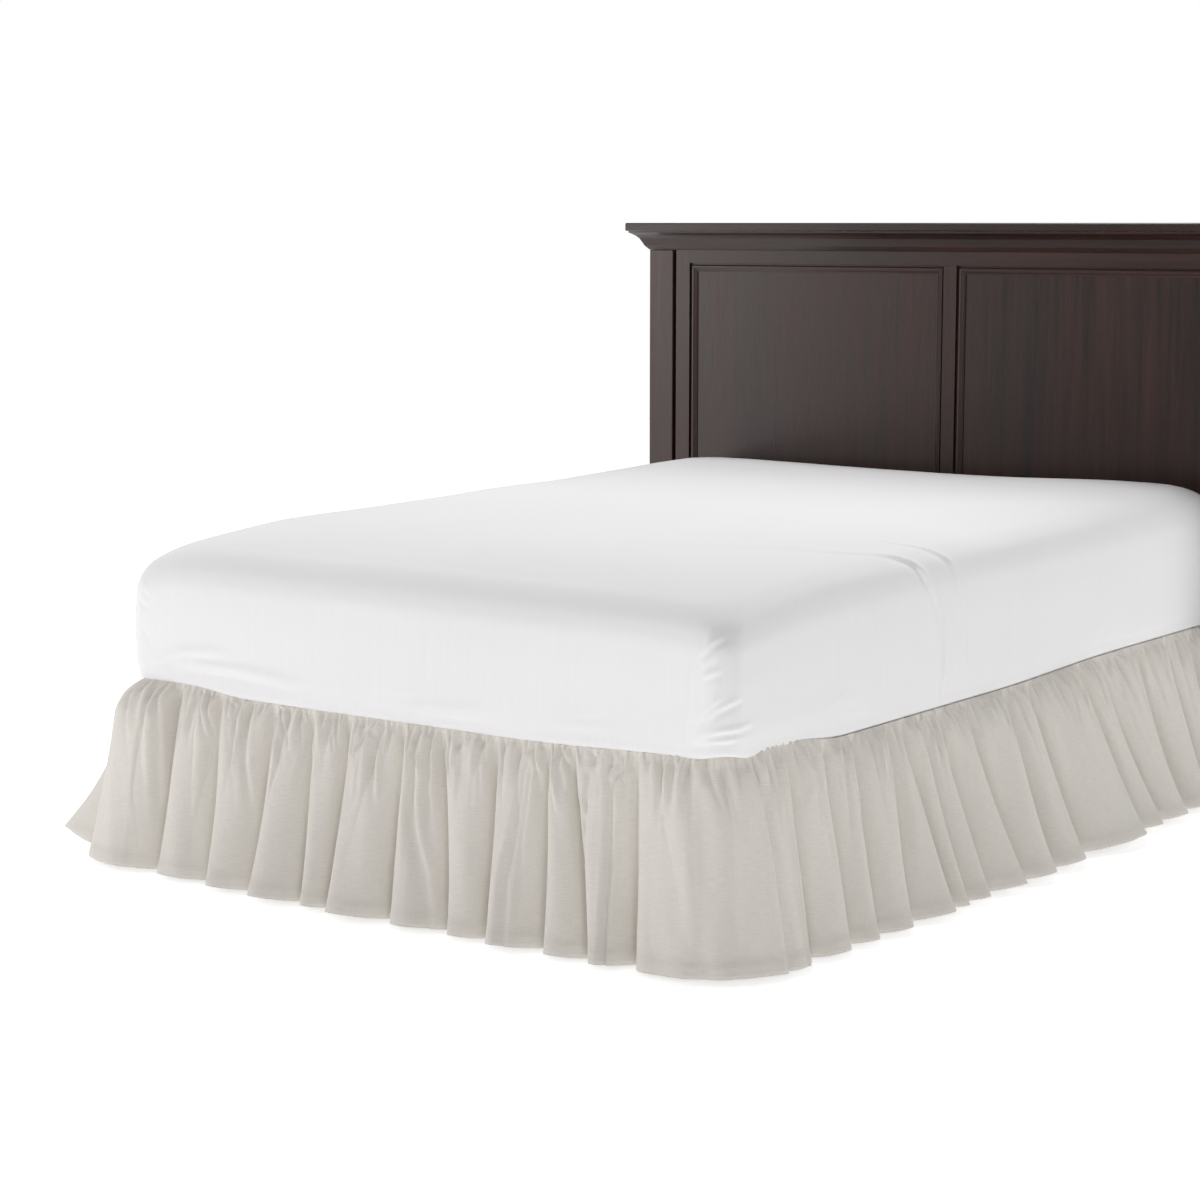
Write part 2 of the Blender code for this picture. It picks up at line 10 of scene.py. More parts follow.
import bmesh
import bpy
import numpy as np
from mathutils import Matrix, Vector


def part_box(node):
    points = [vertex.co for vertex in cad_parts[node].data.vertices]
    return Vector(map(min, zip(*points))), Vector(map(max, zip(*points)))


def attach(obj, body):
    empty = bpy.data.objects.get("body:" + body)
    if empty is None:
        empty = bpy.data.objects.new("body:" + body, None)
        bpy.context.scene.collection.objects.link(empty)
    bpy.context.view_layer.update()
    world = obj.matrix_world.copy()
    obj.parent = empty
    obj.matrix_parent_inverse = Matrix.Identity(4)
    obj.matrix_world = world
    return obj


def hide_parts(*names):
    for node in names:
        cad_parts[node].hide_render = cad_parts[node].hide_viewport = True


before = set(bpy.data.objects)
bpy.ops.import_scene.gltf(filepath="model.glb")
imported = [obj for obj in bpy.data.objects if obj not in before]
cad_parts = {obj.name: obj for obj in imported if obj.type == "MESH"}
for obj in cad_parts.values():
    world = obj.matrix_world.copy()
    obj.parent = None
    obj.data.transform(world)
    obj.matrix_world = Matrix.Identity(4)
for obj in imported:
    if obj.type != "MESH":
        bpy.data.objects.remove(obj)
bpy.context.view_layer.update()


def metres(sizes):
    """Sizes given in millimetres, at any depth of tuples."""
    return tuple(metres(size) if isinstance(size, tuple) else size / 1000 for size in sizes)


# ---- Sizes of the bed ----

BED_WIDTH = 1.372
BED_LENGTH = 1.905
SKIRT_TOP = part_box("deck")[1].z
HEM_CLEARANCE = 0.004  # from the floor up to the hem
LEFT_CORNER = 0.05  # radii of the foot corners
RIGHT_CORNER = 0.11
# How far the bed's soft edge has sunk: (distance along the deck's edge, depth).
EDGE_SAG = metres((
    (-560, 0), (-380, 13), (240, 11.5), (620, 0), (840, 0), (1000, 10), (1550, 10), (2050, 0),
))
SAG_REACH = 0.05  # from the edge inwards
SAG_FADE = 0.09  # down the ruffle, and up the mattress
LEFT_CORNER_PULL = 0.012  # by which the left foot corner is pulled out, nearly square
DECK_THICKNESS = 0.0015
DECK_ROLL = 0.004  # radius of its turned-down rim
DECK_LIP = 0.012  # depth of that rim
DECK_SEAM = 0.008  # from the deck's top down to the row in the rim where the ruffle is sewn
DECK_INNER = (0.03, 0.08)  # how far in from the edge its last two rows lie
EDGE_COLUMNS = (30, 20, 90)  # along half the foot, round a corner and along a side

EDGE_X = BED_WIDTH / 2
FOOT_Y = -BED_LENGTH / 2
HEAD_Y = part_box("deck")[1].y
EDGE_RUN = EDGE_X - FOOT_Y + RIGHT_CORNER * (math.pi / 2 - 2)  # along the edge at y = 0

# ---- Folds of the ruffle, as in the part, in millimetres ----
# Distances run along the deck's edge from the middle of the foot side, positive round the
# right side and negative round the left. Each row is one valley and the broad panel that
# follows it: where the valley lies at the hem and at the heading, how far the valley
# stands out at the hem, how far the panel puffs out just under the seam, how far its two
# shoulders stand out at the hem, and how much further its middle bows out there.
HEM, HEADING, INNER, PUFF, NEAR, FAR, BOW = range(7)

LEFT_FOLDS = metres((
    (-2560, -2560, 30, 18, 92, 86, 4), (-2450, -2466, 22, 14, 104, 90, 6),
    (-2344, -2351, 30, 20, 98, 104, 3), (-2219, -2241, 26, 16, 88, 108, 5),
    (-2104, -2106, 34, 13, 112, 94, 3), (-1988, -2006, 24, 19, 96, 110, 6),
    (-1852, -1861, 30, 15, 106, 98, 3), (-1738, -1756, 22, 18, 90, 112, 4),
    (-1630, -1626, 28, 12, 108, 92, 6), (-1504, -1521, 34, 20, 98, 104, 2),
    (-1396, -1401, 26, 16, 86, 106, 5), (-1288, -1306, 22, 14, 110, 90, 4),
    (-1158, -1166, 30, 19, 94, 108, 3), (-1048, -1066, 26, 15, 104, 96, 5),
    (-941, -946, 34, 18, 100, 112, 3),
))
FOOT_FOLDS = metres((
    (-826, -838, 40, 50, 120, 255, 0), (-690, -700, 85, 46, 124, 62, -10),
    (-568, -565, 30, 22, 96, 64, 4), (-424, -460, 24, 18, 114, 72, 5),
    (-305, -322, 30, 15, 128, 90, 4), (-182, -225, 44, 19, 116, 96, 2),
    (-112, -138, 34, 14, 130, 82, 6), (25, -7, 28, 20, 110, 68, 5),
    (154, 83, 30, 17, 108, 78, 3), (242, 203, 24, 15, 114, 60, 5),
    (359, 316, 26, 19, 100, 70, 3), (457, 371, 24, 14, 106, 52, 4),
    (538, 504, 22, 17, 76, 82, -20),
))
RIGHT_FOLDS = metres((
    (800, 806, 30, 18, 74, 90, 3), (903, 925, 24, 16, 72, 104, 3),
    (985, 1017, 28, 20, 80, 106, 4), (1086, 1135, 22, 17, 74, 122, 3),
    (1217, 1188, 42, 19, 106, 116, 2), (1266, 1247, 34, 14, 100, 120, 3),
    (1347, 1320, 26, 18, 92, 132, 4), (1464, 1410, 32, 21, 118, 134, 3),
    (1579, 1570, 28, 16, 120, 110, 6), (1733, 1665, 34, 20, 102, 130, 4),
    (1979, 1880, 28, 22, 104, 114, 2), (2081, 1965, 36, 15, 106, 114, 4),
    (2206, 2140, 28, 18, 100, 116, 5), (2318, 2290, 32, 14, 104, 108, 3),
    (2428, 2410, 26, 19, 98, 104, 5),
))
LAST_VALLEY = metres((2534, 2534, 30, 17, 30, 30, 0))

PANEL_SPAN = 0.04  # a broad panel has a control point about this often
PUFF_LENGTH = 0.017  # down the cloth, in which it puffs out to two thirds under the seam
PANEL_BOW = 0.11  # of a panel's width, by which its middle stands out
VALLEY_PUFF = 0.004  # how far a valley stands out just under the seam
SEAM_OUT = 0.0019  # from the deck's rim to the middle of the cloth sewn to it
SEAM_DROP = 0.0045  # from the deck's top face down to the ruffle's top edge
FLARE_POWER = 1.2
HEM_LIFT = 0.5  # share of the rise of a slanting hem that is kept
MAX_FLARE = 0.2  # beyond which the hem rises no further
VALLEY_MOUTH = 0.009  # from a valley's middle to its side
VALLEY_MOUTH_SHARE = 0.16  # of the panel, and at most that
SHOULDER_BACK = 0.015  # from a valley's middle to the panel's shoulder
SHOULDER_BACK_SHARE = 0.24  # of the panel, and at most that

CLOTH = 0.0009  # thickness of the ruffle's cloth
JOIN_GAP = 0.0003  # between two strips in the valley where they are joined
SEAM_CALM = 0.02  # of cloth beside a joining seam, where the small folds die out
COLUMN_WIDTH = 0.0036  # of cloth, between two columns of the ruffle's mesh
ROW_FIRST, ROW_GROWTH, ROW_LAST = 0.0011, 1.11, 0.0095  # spacing of its rows
HEADING_Z = SKIRT_TOP - SEAM_DROP
CUT_LENGTH = HEADING_Z - HEM_CLEARANCE
HEM_DEPTH = 0.025  # of the turned-up hem
HEM_STEP = 0.0004  # by which the doubled hem stands proud of the cloth above it
HEM_ROWS = (0.0, 0.0012, 0.009, 0.017, HEM_DEPTH)  # down from the hem's stitch line

# Gathers under the seam, from large to small: their pitch along the heading, limits for how
# far they stand out and how far down the cloth they reach, how far they slant, the share of
# their height at the seam, and the distance down in which they reach the whole of it.
# Each kind's valleys are valleys of the next kind too.
TUCKS = (0.048, (0.008, 0.017), (0.045, 0.17), 0.1, 0.1, 0.024)
PLEATS = (0.024, (0.0085, 0.016), (0.022, 0.075), 0.24, 0.2, 0.012)
PUCKERS = (0.0135, (0.0034, 0.0066), (0.009, 0.024), 0.38, 0.55, 0.004)
GATHER_FADE_POWER = 1.6
GATHER_CREST_POWER = 0.55  # low for a full crest between narrow valleys
GATHER_VALLEY = 0.85  # depth of a valley as a share of the crests beside it
UNEVEN_PITCH = 0.28  # share of the pitch by which a valley strays
HEADING_ROLL = 0.0048  # how far the heading rolls up above the seam
SCALLOP = 0.003  # and how much further a pucker's crest does
ROLL_LENGTH = 0.012  # down the cloth, in which that roll dies out
RIPPLE_COUNT = 14
RIPPLE_LENGTHS = ((0.05, 0.16), (0.25, 0.9))  # along and down the cloth
RIPPLE_HEIGHT, RIPPLE_START = 0.0016, 0.1
# Short creases from the seam: how many a panel has, where they start, how long they are,
# their slant, width and height.
CREASE_COUNTS = (3, 7)
CREASE_TOPS, CREASE_LENGTHS, CREASE_SLANT = (0.004, 0.04), (0.03, 0.15), 0.22
CREASE_WIDTHS, CREASE_HEIGHTS = (0.0022, 0.005), (0.001, 0.0034)
# Single folds that run on down the foot panels. Each is a stretch of (place along the
# heading, distance down the cloth) points, its width, its depth and how far it is turned
# over: 0 is a valley between two ridges, 1 a step down from a ridge on its left.
FOLD_FADE_IN, FOLD_FADE_OUT = 0.12, 0.55  # shares of its length
RIDGE_HEIGHT, RIDGE_PLACE, RIDGE_SPREAD = 0.42, 2.3, 1.7  # in depths, widths and widths squared
STEP_HEIGHT = 1.5
FOOT_LEFT_FOLD = ((-602, 4), (-589, 60), (-588, 120), (-583, 230), (-560, 310))
FOOT_RIGHT_FOLD = ((472, 0), (472, 30), (454, 55), (449, 174), (435, 330))
SEEN_FOLDS = (
    (FOOT_LEFT_FOLD, 6, 8.5, 0.2), (((-644, 10), (-640, 90)), 5, 5, 0),
    (((-516, 4), (-520, 110)), 4.5, 5.5, 0.3), (((-482, 4), (-490, 50)), 3.5, 7, 0),
    (((-383, 4), (-374, 110), (-345, 235)), 6, 6.5, 0.3),
    (((-420, 4), (-414, 60)), 4, 5.5, 0), (((-270, 4), (-276, 85)), 4.5, 5.5, 0.3),
    (((-180, 4), (-176, 70)), 4, 5.5, 0),
    (((-90, 4), (-93, 80), (-90, 140), (-114, 170)), 4.5, 6, 0.3),
    (((-66, 10), (-62, 150)), 6, 5, 0),
    (((25, 2), (27, 155), (45, 250), (49, 344)), 5.5, 8.5, 0.3),
    (((60, 4), (53, 108), (57, 240)), 4, 7, 0.1), (((135, 4), (128, 120)), 4.5, 5, 0.2),
    (((176, 2), (170, 80)), 4, 7, 0),
    (((284, 6), (264, 146), (249, 231), (251, 335)), 6, 7.5, 0.2),
    (((291, 30), (275, 165), (274, 235)), 3.4, 6, 0), (((345, 4), (350, 90)), 4, 5, 0),
    (FOOT_RIGHT_FOLD, 5.5, 9.5, 0.2), (((420, 4), (412, 70)), 4, 5.5, 0),
    (((584, 4), (583, 95)), 5, 6.5, 0), (((562, 10), (566, 70)), 4, 4.5, 0),
    (((631, 20), (617, 344)), 7.5, 3.2, 0), (((664, 30), (650, 344)), 6.5, 3, 0.4),
    (((718, 6), (716, 344)), 6, 8, 0.9), (((775, 4), (762, 344)), 4.5, 6, 0.9),
    (((742, 4), (738, 150)), 4, 4.5, 0.2),
)
# The heading rides up where the skirt turns the foot-right corner: between the distances
# along the edge where the rise starts, is whole, starts to end and has ended.
CORNER_RISE = 0.008
CORNER_RISE_SPAN = (0.54, 0.66, 0.78, 0.98)
TWO_PI = 2 * math.pi


def clamp01(x):
    """x held between 0 and 1."""
    return np.clip(x, 0.0, 1.0)


def smooth(x):
    """0 below 0, 1 above 1, with an easy turn between."""
    x = clamp01(x)
    return x * x * (3 - 2 * x)


def mix(a, b, share):
    """The value that share of the way from a to b."""
    return a + (b - a) * share


# ---- The deck's edge ----


def edge_points(along, out):
    """Plan positions at distances along the deck's edge and distances out from it."""
    corner = np.where(along > 0, RIGHT_CORNER, LEFT_CORNER)
    straight, run = EDGE_X - corner, np.abs(along)
    turn = np.clip((run - straight) / corner, 0, math.pi / 2)
    past = np.maximum(run - straight - corner * math.pi / 2, 0)
    x = np.minimum(run, straight) + (corner + out) * np.sin(turn)
    y = FOOT_Y + corner - (corner + out) * np.cos(turn) + past
    return np.sign(along) * x, y


def edge_sag(along):
    """How far the deck's edge has sunk at distances along it."""
    places, drops = (np.array(column) for column in zip(*EDGE_SAG))
    i = np.clip(np.searchsorted(places, along) - 1, 0, len(places) - 2)
    return mix(drops[i], drops[i + 1], smooth((along - places[i]) / (places[i + 1] - places[i])))


def rim_sag(x, y):
    """How far the bed's soft layers have sunk near the deck's edge at places in plan."""
    foot = edge_sag(x) * (1 - smooth((y - FOOT_Y) / SAG_REACH))
    side = edge_sag(y + EDGE_RUN) * (1 - smooth((EDGE_X - x) / SAG_REACH))
    return np.maximum(foot, side)


def corner_pull(along, depth):
    """How far the left foot corner is pulled out at a distance down the cloth."""
    turn = np.clip((-along - EDGE_X + LEFT_CORNER) / LEFT_CORNER, 0, math.pi / 2)
    full = (1 - math.exp(-depth / PUFF_LENGTH)) * (1 - 0.5 * depth / CUT_LENGTH)
    return LEFT_CORNER_PULL * full * np.sin(2 * turn) ** 2


def edge_runs(corner):
    """Distances along the deck's edge of its mesh's columns, from mid-foot to the head."""
    straight, arc = EDGE_X - corner, corner * math.pi / 2
    end = straight + arc + HEAD_Y - FOOT_Y - corner
    at_foot, at_corner, at_side = EDGE_COLUMNS
    foot = np.linspace(0.01, straight, at_foot, endpoint=False)
    turn = np.linspace(straight, straight + arc, at_corner, endpoint=False)
    return np.concatenate([foot, turn, np.linspace(straight + arc, end, at_side)])


# ---- The ruffle's folds ----


def opened(puff, hem_out, share):
    """How far a fold line stands out at a share of the way down to the hem."""
    full = 1 - math.exp(-share * CUT_LENGTH / PUFF_LENGTH)
    return mix(SEAM_OUT, mix(puff, hem_out, share**FLARE_POWER), full)


def panel_controls(fold, following, share):
    """Control points (along, out) of one valley and the panel after it, at one height."""
    start = mix(fold[HEADING], fold[HEM], share)
    end = mix(following[HEADING], following[HEM], share)
    valley = opened(VALLEY_PUFF, fold[INNER], share)
    next_valley = opened(VALLEY_PUFF, following[INNER], share)
    near = opened(fold[PUFF], fold[NEAR], share)
    far = opened(fold[PUFF], fold[FAR], share)
    mouth = min(VALLEY_MOUTH, VALLEY_MOUTH_SHARE * (end - start))
    shoulder = min(SHOULDER_BACK, SHOULDER_BACK_SHARE * (end - start))
    controls = [(start, valley), (start + mouth, mix(valley, near, 0.5))]
    spans = max(2, round((following[HEM] - fold[HEM]) / PANEL_SPAN))
    bow = fold[BOW] * share + PANEL_BOW * (end - start) * math.sqrt(share)
    for step in range(spans + 1):
        across = step / spans
        out = mix(near, far, across) + bow * math.sin(math.pi * across)
        controls.append((mix(start + shoulder, end - shoulder, across), out))
    controls.append((end - mouth, mix(next_valley, far, 0.5)))
    return controls


def fold_controls(folds, ending, share):
    """Control points of a whole strip at one height."""
    controls = []
    for fold, following in zip(folds, (*folds[1:], ending)):
        controls.extend(panel_controls(fold, following, share))
    last = mix(ending[HEADING], ending[HEM], share)
    controls.append((last, opened(VALLEY_PUFF, ending[INNER], share)))
    return np.array(controls)


def spline_points(controls, positions):
    """Points of the cubic B-spline that starts and ends on its outer control points."""
    padded = np.vstack([2 * controls[0] - controls[1], controls, 2 * controls[-1] - controls[-2]])
    first = np.minimum(positions.astype(int), len(controls) - 2)
    t = (positions - first)[:, None]
    weights = ((1 - t) ** 3, 3 * t**3 - 6 * t**2 + 4, -3 * t**3 + 3 * t**2 + 3 * t + 1, t**3)
    return sum(w * padded[first + i] for i, w in enumerate(weights)) / 6


def row_depths():
    """Distances down the cloth of the mesh's rows: close at the heading, wider below."""
    depths, step = [0.0], ROW_FIRST
    while depths[-1] + step < CUT_LENGTH - HEM_DEPTH:
        depths.append(depths[-1] + step)
        step = min(step * ROW_GROWTH, ROW_LAST)
    return np.concatenate([depths[:-1], CUT_LENGTH - HEM_DEPTH + np.array(HEM_ROWS)])


class Gathers:
    """A run of small folds between valleys at given places along the heading."""

    def __init__(self, valleys, height, reach, slant, start, growth, random):
        count = len(valleys) - 1
        self.start, self.growth = start, growth
        self.valleys = np.array(valleys)
        self.height = random.uniform(*height, count)
        self.reach = random.uniform(*reach, count + 1)
        self.lean = random.normal(0, slant, count + 1)
        self.lean[[0, -1]] = 0

    def at(self, heading, depth):
        """(height over the mean surface, share of the crest) at one distance down."""
        lines = self.valleys + self.lean * depth
        lines = np.maximum.accumulate(lines) + np.arange(len(lines)) * 1e-6
        index = np.clip(np.searchsorted(lines, heading) - 1, 0, len(lines) - 2)
        across = clamp01((heading - lines[index]) / (lines[index + 1] - lines[index]))
        grown = mix(self.start, 1.0, smooth(depth / self.growth))
        fade = np.exp(-((depth / self.reach) ** GATHER_FADE_POWER)) * grown
        left, right = fade[index], fade[index + 1]
        crest = np.sin(math.pi * across) ** GATHER_CREST_POWER
        height = self.height[index] * mix(left, right, across)
        heights = np.concatenate([self.height[:1], self.height, self.height[-1:]])
        ends = (heights[1:] + heights[:-1]) / 2
        valley = GATHER_VALLEY * mix(ends[index] * left, ends[index + 1] * right, across)
        return height * crest - valley, crest


def split_run(start, end, pitch, random):
    """Uneven places that cut a run into pieces of about that pitch, without its end."""
    count = max(1, round((end - start) / pitch))
    strays = random.uniform(-UNEVEN_PITCH, UNEVEN_PITCH, count - 1)
    cuts = (np.arange(1, count) + strays) / count
    return [start, *(start + (end - start) * cuts)]


def gathers(folds, ending, random):
    """The tucks, pleats and puckers under the seam of one strip."""
    places = [fold[HEADING] for fold in (*folds, ending)]
    kinds = []
    for pitch, *shape in (TUCKS, PLEATS, PUCKERS):
        cuts = [split_run(start, end, pitch, random) for start, end in zip(places, places[1:])]
        places = [*(place for run in cuts for place in run), places[-1]]
        kinds.append(Gathers(places, *shape, random))
    return kinds


def ripples(cloth, depth, random):
    """Slow unevenness of a hanging cloth, by distance along and down it."""
    total = 0.0
    for _ in range(RIPPLE_COUNT):
        along, down = (TWO_PI / random.uniform(*lengths) for lengths in RIPPLE_LENGTHS)
        down *= random.choice([-1, 1])
        total += np.sin(cloth * along + depth * down + random.uniform(0, 6.3))
    return total / RIPPLE_COUNT**0.5


def creases(heading, depth, folds, random):
    """Short slanting creases that run down from the pinched cloth under the seam."""
    total = 0.0
    for fold, following in zip(folds, folds[1:]):
        for _ in range(random.integers(*CREASE_COUNTS)):
            start = random.uniform(fold[HEADING], following[HEADING])
            top, length = random.uniform(*CREASE_TOPS), random.uniform(*CREASE_LENGTHS)
            slope = random.normal(0, CREASE_SLANT)
            width, height = random.uniform(*CREASE_WIDTHS), random.uniform(*CREASE_HEIGHTS)
            down = clamp01((depth - top) / length)
            offset = (heading - start - slope * (depth - top)) / width
            inside = np.sin(math.pi * down) ** 0.8 * (depth > top)
            total += height * inside * offset * np.exp(-0.5 * offset**2) * 1.6
    return total


def seen_folds(heading, depth):
    """The single folds' height over the cloth, by place along the heading and depth."""
    total = 0.0
    for path, width, height, turned in SEEN_FOLDS:
        path, width, height = metres((path, width, height))
        places, depths = zip(*path)
        line = np.interp(depth, depths, places)
        down = clamp01((depth - depths[0]) / (depths[-1] - depths[0]))
        fade = smooth(down / FOLD_FADE_IN)
        if depths[-1] < CUT_LENGTH - HEM_DEPTH:
            fade = fade * smooth((1 - down) / FOLD_FADE_OUT)
        offset = (heading - line) / width
        ridges = RIDGE_HEIGHT * np.exp(-((np.abs(offset) - RIDGE_PLACE) ** 2) / RIDGE_SPREAD)
        middle = np.exp(-0.5 * offset**2)
        valley = mix(ridges - middle, -STEP_HEIGHT * offset * middle, turned)
        total += height * fade * valley
    return total


def grid_normals(points):
    """Unit normals of a grid of points, rows by columns."""
    down, across = np.gradient(points, axis=0), np.gradient(points, axis=1)
    normals = np.cross(down, across)
    return normals / np.maximum(np.linalg.norm(normals, axis=2, keepdims=True), 1e-9)


def lengths_along(points):
    """Distance from the first point to each, by way of the points between."""
    return np.concatenate([[0], np.cumsum(np.linalg.norm(np.diff(points, axis=0), axis=1))])


def hem_positions(folds, ending):
    """Distances along the hem of the mesh's columns, and their places on the spline."""
    hem = fold_controls(folds, ending, 1.0)
    fine = np.linspace(0, len(hem) - 1, 40 * len(hem))
    length = lengths_along(np.column_stack(edge_points(*spline_points(hem, fine).T)))
    cloth = np.linspace(0, length[-1], round(length[-1] / COLUMN_WIDTH) + 1)
    return cloth, np.interp(cloth, length, fine)


def ruffle_surface(folds, ending, random):
    """Middle surface of one strip, rows by columns, and its distances along and down."""
    cloth, positions = hem_positions(folds, ending)
    depths = row_depths()
    heading = spline_points(fold_controls(folds, ending, 0.0), positions)[:, 0]
    kinds = gathers(folds, ending, random)
    down = depths[:, None]
    uneven = ripples(cloth, down, random)
    slants = creases(heading, down, (*folds, ending), random) + seen_folds(heading, down)
    first, full, last, none = CORNER_RISE_SPAN
    rise = smooth((heading - first) / (full - first)) * smooth((none - heading) / (none - last))
    inside = smooth(np.minimum(cloth, cloth[-1] - cloth) / SEAM_CALM)
    rows = []
    for i, depth in enumerate(depths):
        share = depth / CUT_LENGTH
        along, out = spline_points(fold_controls(folds, ending, share), positions).T
        (tuck, _), (pleat, _), (pucker, crest) = (kind.at(heading, depth) for kind in kinds)
        ripple = RIPPLE_HEIGHT * uneven[i] * smooth(depth / RIPPLE_START)
        out = out + (tuck + pleat + pucker + slants[i] + ripple) * inside
        out = np.maximum(out, SEAM_OUT) + corner_pull(along, depth)
        start, end = (mix(fold[HEADING], fold[HEM], share) for fold in (folds[0], ending))
        along = np.clip(along, start + CLOTH / 2 + JOIN_GAP, end - CLOTH / 2)
        slant = np.sqrt(CUT_LENGTH**2 - (np.minimum(out, MAX_FLARE) * share) ** 2)
        drop = share * mix(CUT_LENGTH, slant, HEM_LIFT)
        roll = HEADING_ROLL + SCALLOP * crest + CORNER_RISE * rise
        roll = roll * math.exp(-depth / ROLL_LENGTH)
        x, y = edge_points(along, out)
        sunk = edge_sag(heading) * math.exp(-depth / SAG_FADE)
        rows.append(np.column_stack([x, y, HEADING_Z - drop + roll - sunk]))
    points = np.array(rows)
    proud = HEM_STEP * smooth((depths - (CUT_LENGTH - HEM_DEPTH)) / HEM_ROWS[1])
    points += grid_normals(points) * proud[:, None, None]
    return points, cloth, depths


# ---- Meshes ----

CLOTH_MAP = "cloth"


def add_object(name, data):
    """A new object in the scene."""
    piece = bpy.data.objects.new(name, data)
    bpy.context.scene.collection.objects.link(piece)
    return piece


def add_mesh(name, points, faces, material, closed=False):
    """A smooth mesh object made of points and faces."""
    mesh = bpy.data.meshes.new(name)
    mesh.from_pydata([tuple(p) for p in points], [], faces)
    mesh.validate()
    if closed:
        bm = bmesh.new()
        bm.from_mesh(mesh)
        bmesh.ops.recalc_face_normals(bm, faces=bm.faces)
        bm.to_mesh(mesh)
        bm.free()
    mesh.materials.append(material)
    mesh.shade_smooth()
    return add_object(name, mesh)


def grid_faces(rows, columns, closed=False):
    """Faces of a grid of points; a closed grid joins its last column to its first."""
    faces = []
    for row in range(rows - 1):
        for column in range(columns if closed else columns - 1):
            beside = (column + 1) % columns
            here, below = row * columns, (row + 1) * columns
            faces.append((here + column, below + column, below + beside, here + beside))
    return faces


def set_cloth_map(piece, across, down):
    """Keeps each point's distance across and down the cloth in a map, for its weave."""
    mesh = piece.data
    corners = np.zeros(len(mesh.loops), int)
    mesh.loops.foreach_get("vertex_index", corners)
    values = np.column_stack([across[corners], down[corners]]).astype(np.float32)
    mesh.uv_layers.new(name=CLOTH_MAP).data.foreach_set("uv", values.ravel())


def solidify(piece, thickness, offset):
    """Gives a sheet its thickness."""
    thick = piece.modifiers.new("thickness", "SOLIDIFY")
    thick.thickness = thickness
    thick.offset = offset


def make_ruffle(side, folds, ending, seed, material):
    """One strip of the gathered ruffle, which stands for its CAD node."""
    points, cloth, depths = ruffle_surface(folds, ending, np.random.default_rng(seed))
    rows, columns = points.shape[:2]
    faces = grid_faces(rows, columns)
    piece = add_mesh(f"ruffle_{side}_cloth", points.reshape(-1, 3), faces, material)
    set_cloth_map(piece, np.tile(cloth, rows), np.repeat(depths, columns))
    solidify(piece, CLOTH, 0.0)
    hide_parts(f"ruffle_{side}")
    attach(piece, "root")


def make_deck_cloth(material):
    """The flat panel on the box spring, with its rim turned down for the ruffle."""
    along = np.concatenate([-edge_runs(LEFT_CORNER)[::-1], edge_runs(RIGHT_CORNER)])
    turns = np.linspace(0, math.pi / 2, 6)
    profile = [(0.0, -DECK_LIP), (0.0, -DECK_SEAM)]
    profile += [(DECK_ROLL * (math.cos(t) - 1), DECK_ROLL * (math.sin(t) - 1)) for t in turns]
    profile += [(-inset, 0.0) for inset in DECK_INNER]
    rows = []
    for out, rise in profile:
        x, y = edge_points(along, np.full(along.shape, out))
        rows.append(np.column_stack([x, y, SKIRT_TOP + rise - rim_sag(x, y)]))
    points = np.array(rows)
    count, columns = points.shape[:2]
    faces = grid_faces(count, columns)
    last = (count - 1) * columns
    faces.append(tuple(range(last + columns - 1, last - 1, -1)))
    flat = points.reshape(-1, 3)
    piece = add_mesh("deck_cloth", flat, faces, material)
    set_cloth_map(piece, flat[:, 0], flat[:, 1] - flat[:, 2])
    solidify(piece, DECK_THICKNESS, 1.0)
    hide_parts("deck")
    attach(piece, "root")


# ---- Mattress ----

MATTRESS_LENGTH = 1.91
MATTRESS_CORNER = 0.045
MATTRESS_HEIGHT = 0.319  # over the deck, as in the last pair below
# From the underside to the middle of the top, as (inset, height).
MATTRESS_PROFILE = metres((
    (4, 0.3), (0, 3), (-3, 22), (-7.5, 110), (-6.5, 190), (-1, 242), (11.5, 273),
    (37, 291.5), (80, 301), (150, 309), (300, 315), (490, 318), (625, 319),
))
CORNER_GROWTH = 0.7  # of its corners' radius, by the inset
CORNER_LIMIT = 0.9  # of the way to its middle line
MATTRESS_TILT = 0.022  # lower at the foot than at the head
FOOT_SLUMP = 0.026  # lower still at the foot's edge
FOOT_SLUMP_LENGTH = 0.36
CORNER_SLUMP = 0.02  # and at the foot's corners
CORNER_SLUMP_POWER = 6
HEAD_SQUARENESS = 0.012  # fuller at the head's corners
MATTRESS_CORNER_PULL = 0.009  # by which its left foot corner is pulled out
MATTRESS_CORNER_LIFT = 0.008  # by which the sheet's elastic lifts its right foot corner
LIFT_MARGIN = 0.02  # beside the corner, where that lift starts
DIAGONAL = 0.7
SWELL_WAVES, SWELL_LENGTHS, SWELL_HEIGHT = 12, (0.22, 0.7), 0.00154

BASE_FOOT = EDGE_X - MATTRESS_CORNER
BASE_ARC = MATTRESS_CORNER * math.pi / 2
BASE_SIDE = MATTRESS_LENGTH - 2 * MATTRESS_CORNER
HALF_ROUND = 2 * BASE_FOOT + 2 * BASE_ARC + BASE_SIDE
CREASED_RUNS = ((0.57, 0.86), (1.2, 1.5))  # distances round the mattress that crease
CREASED_STEP, PLAIN_STEP = 0.0042, 0.0115  # between the mesh's columns
# Between its rows: (distance along the profile, step up to there).
ROW_STEPS = ((0.24, 0.0062), (0.42, 0.0052), (1.0, 0.0105))


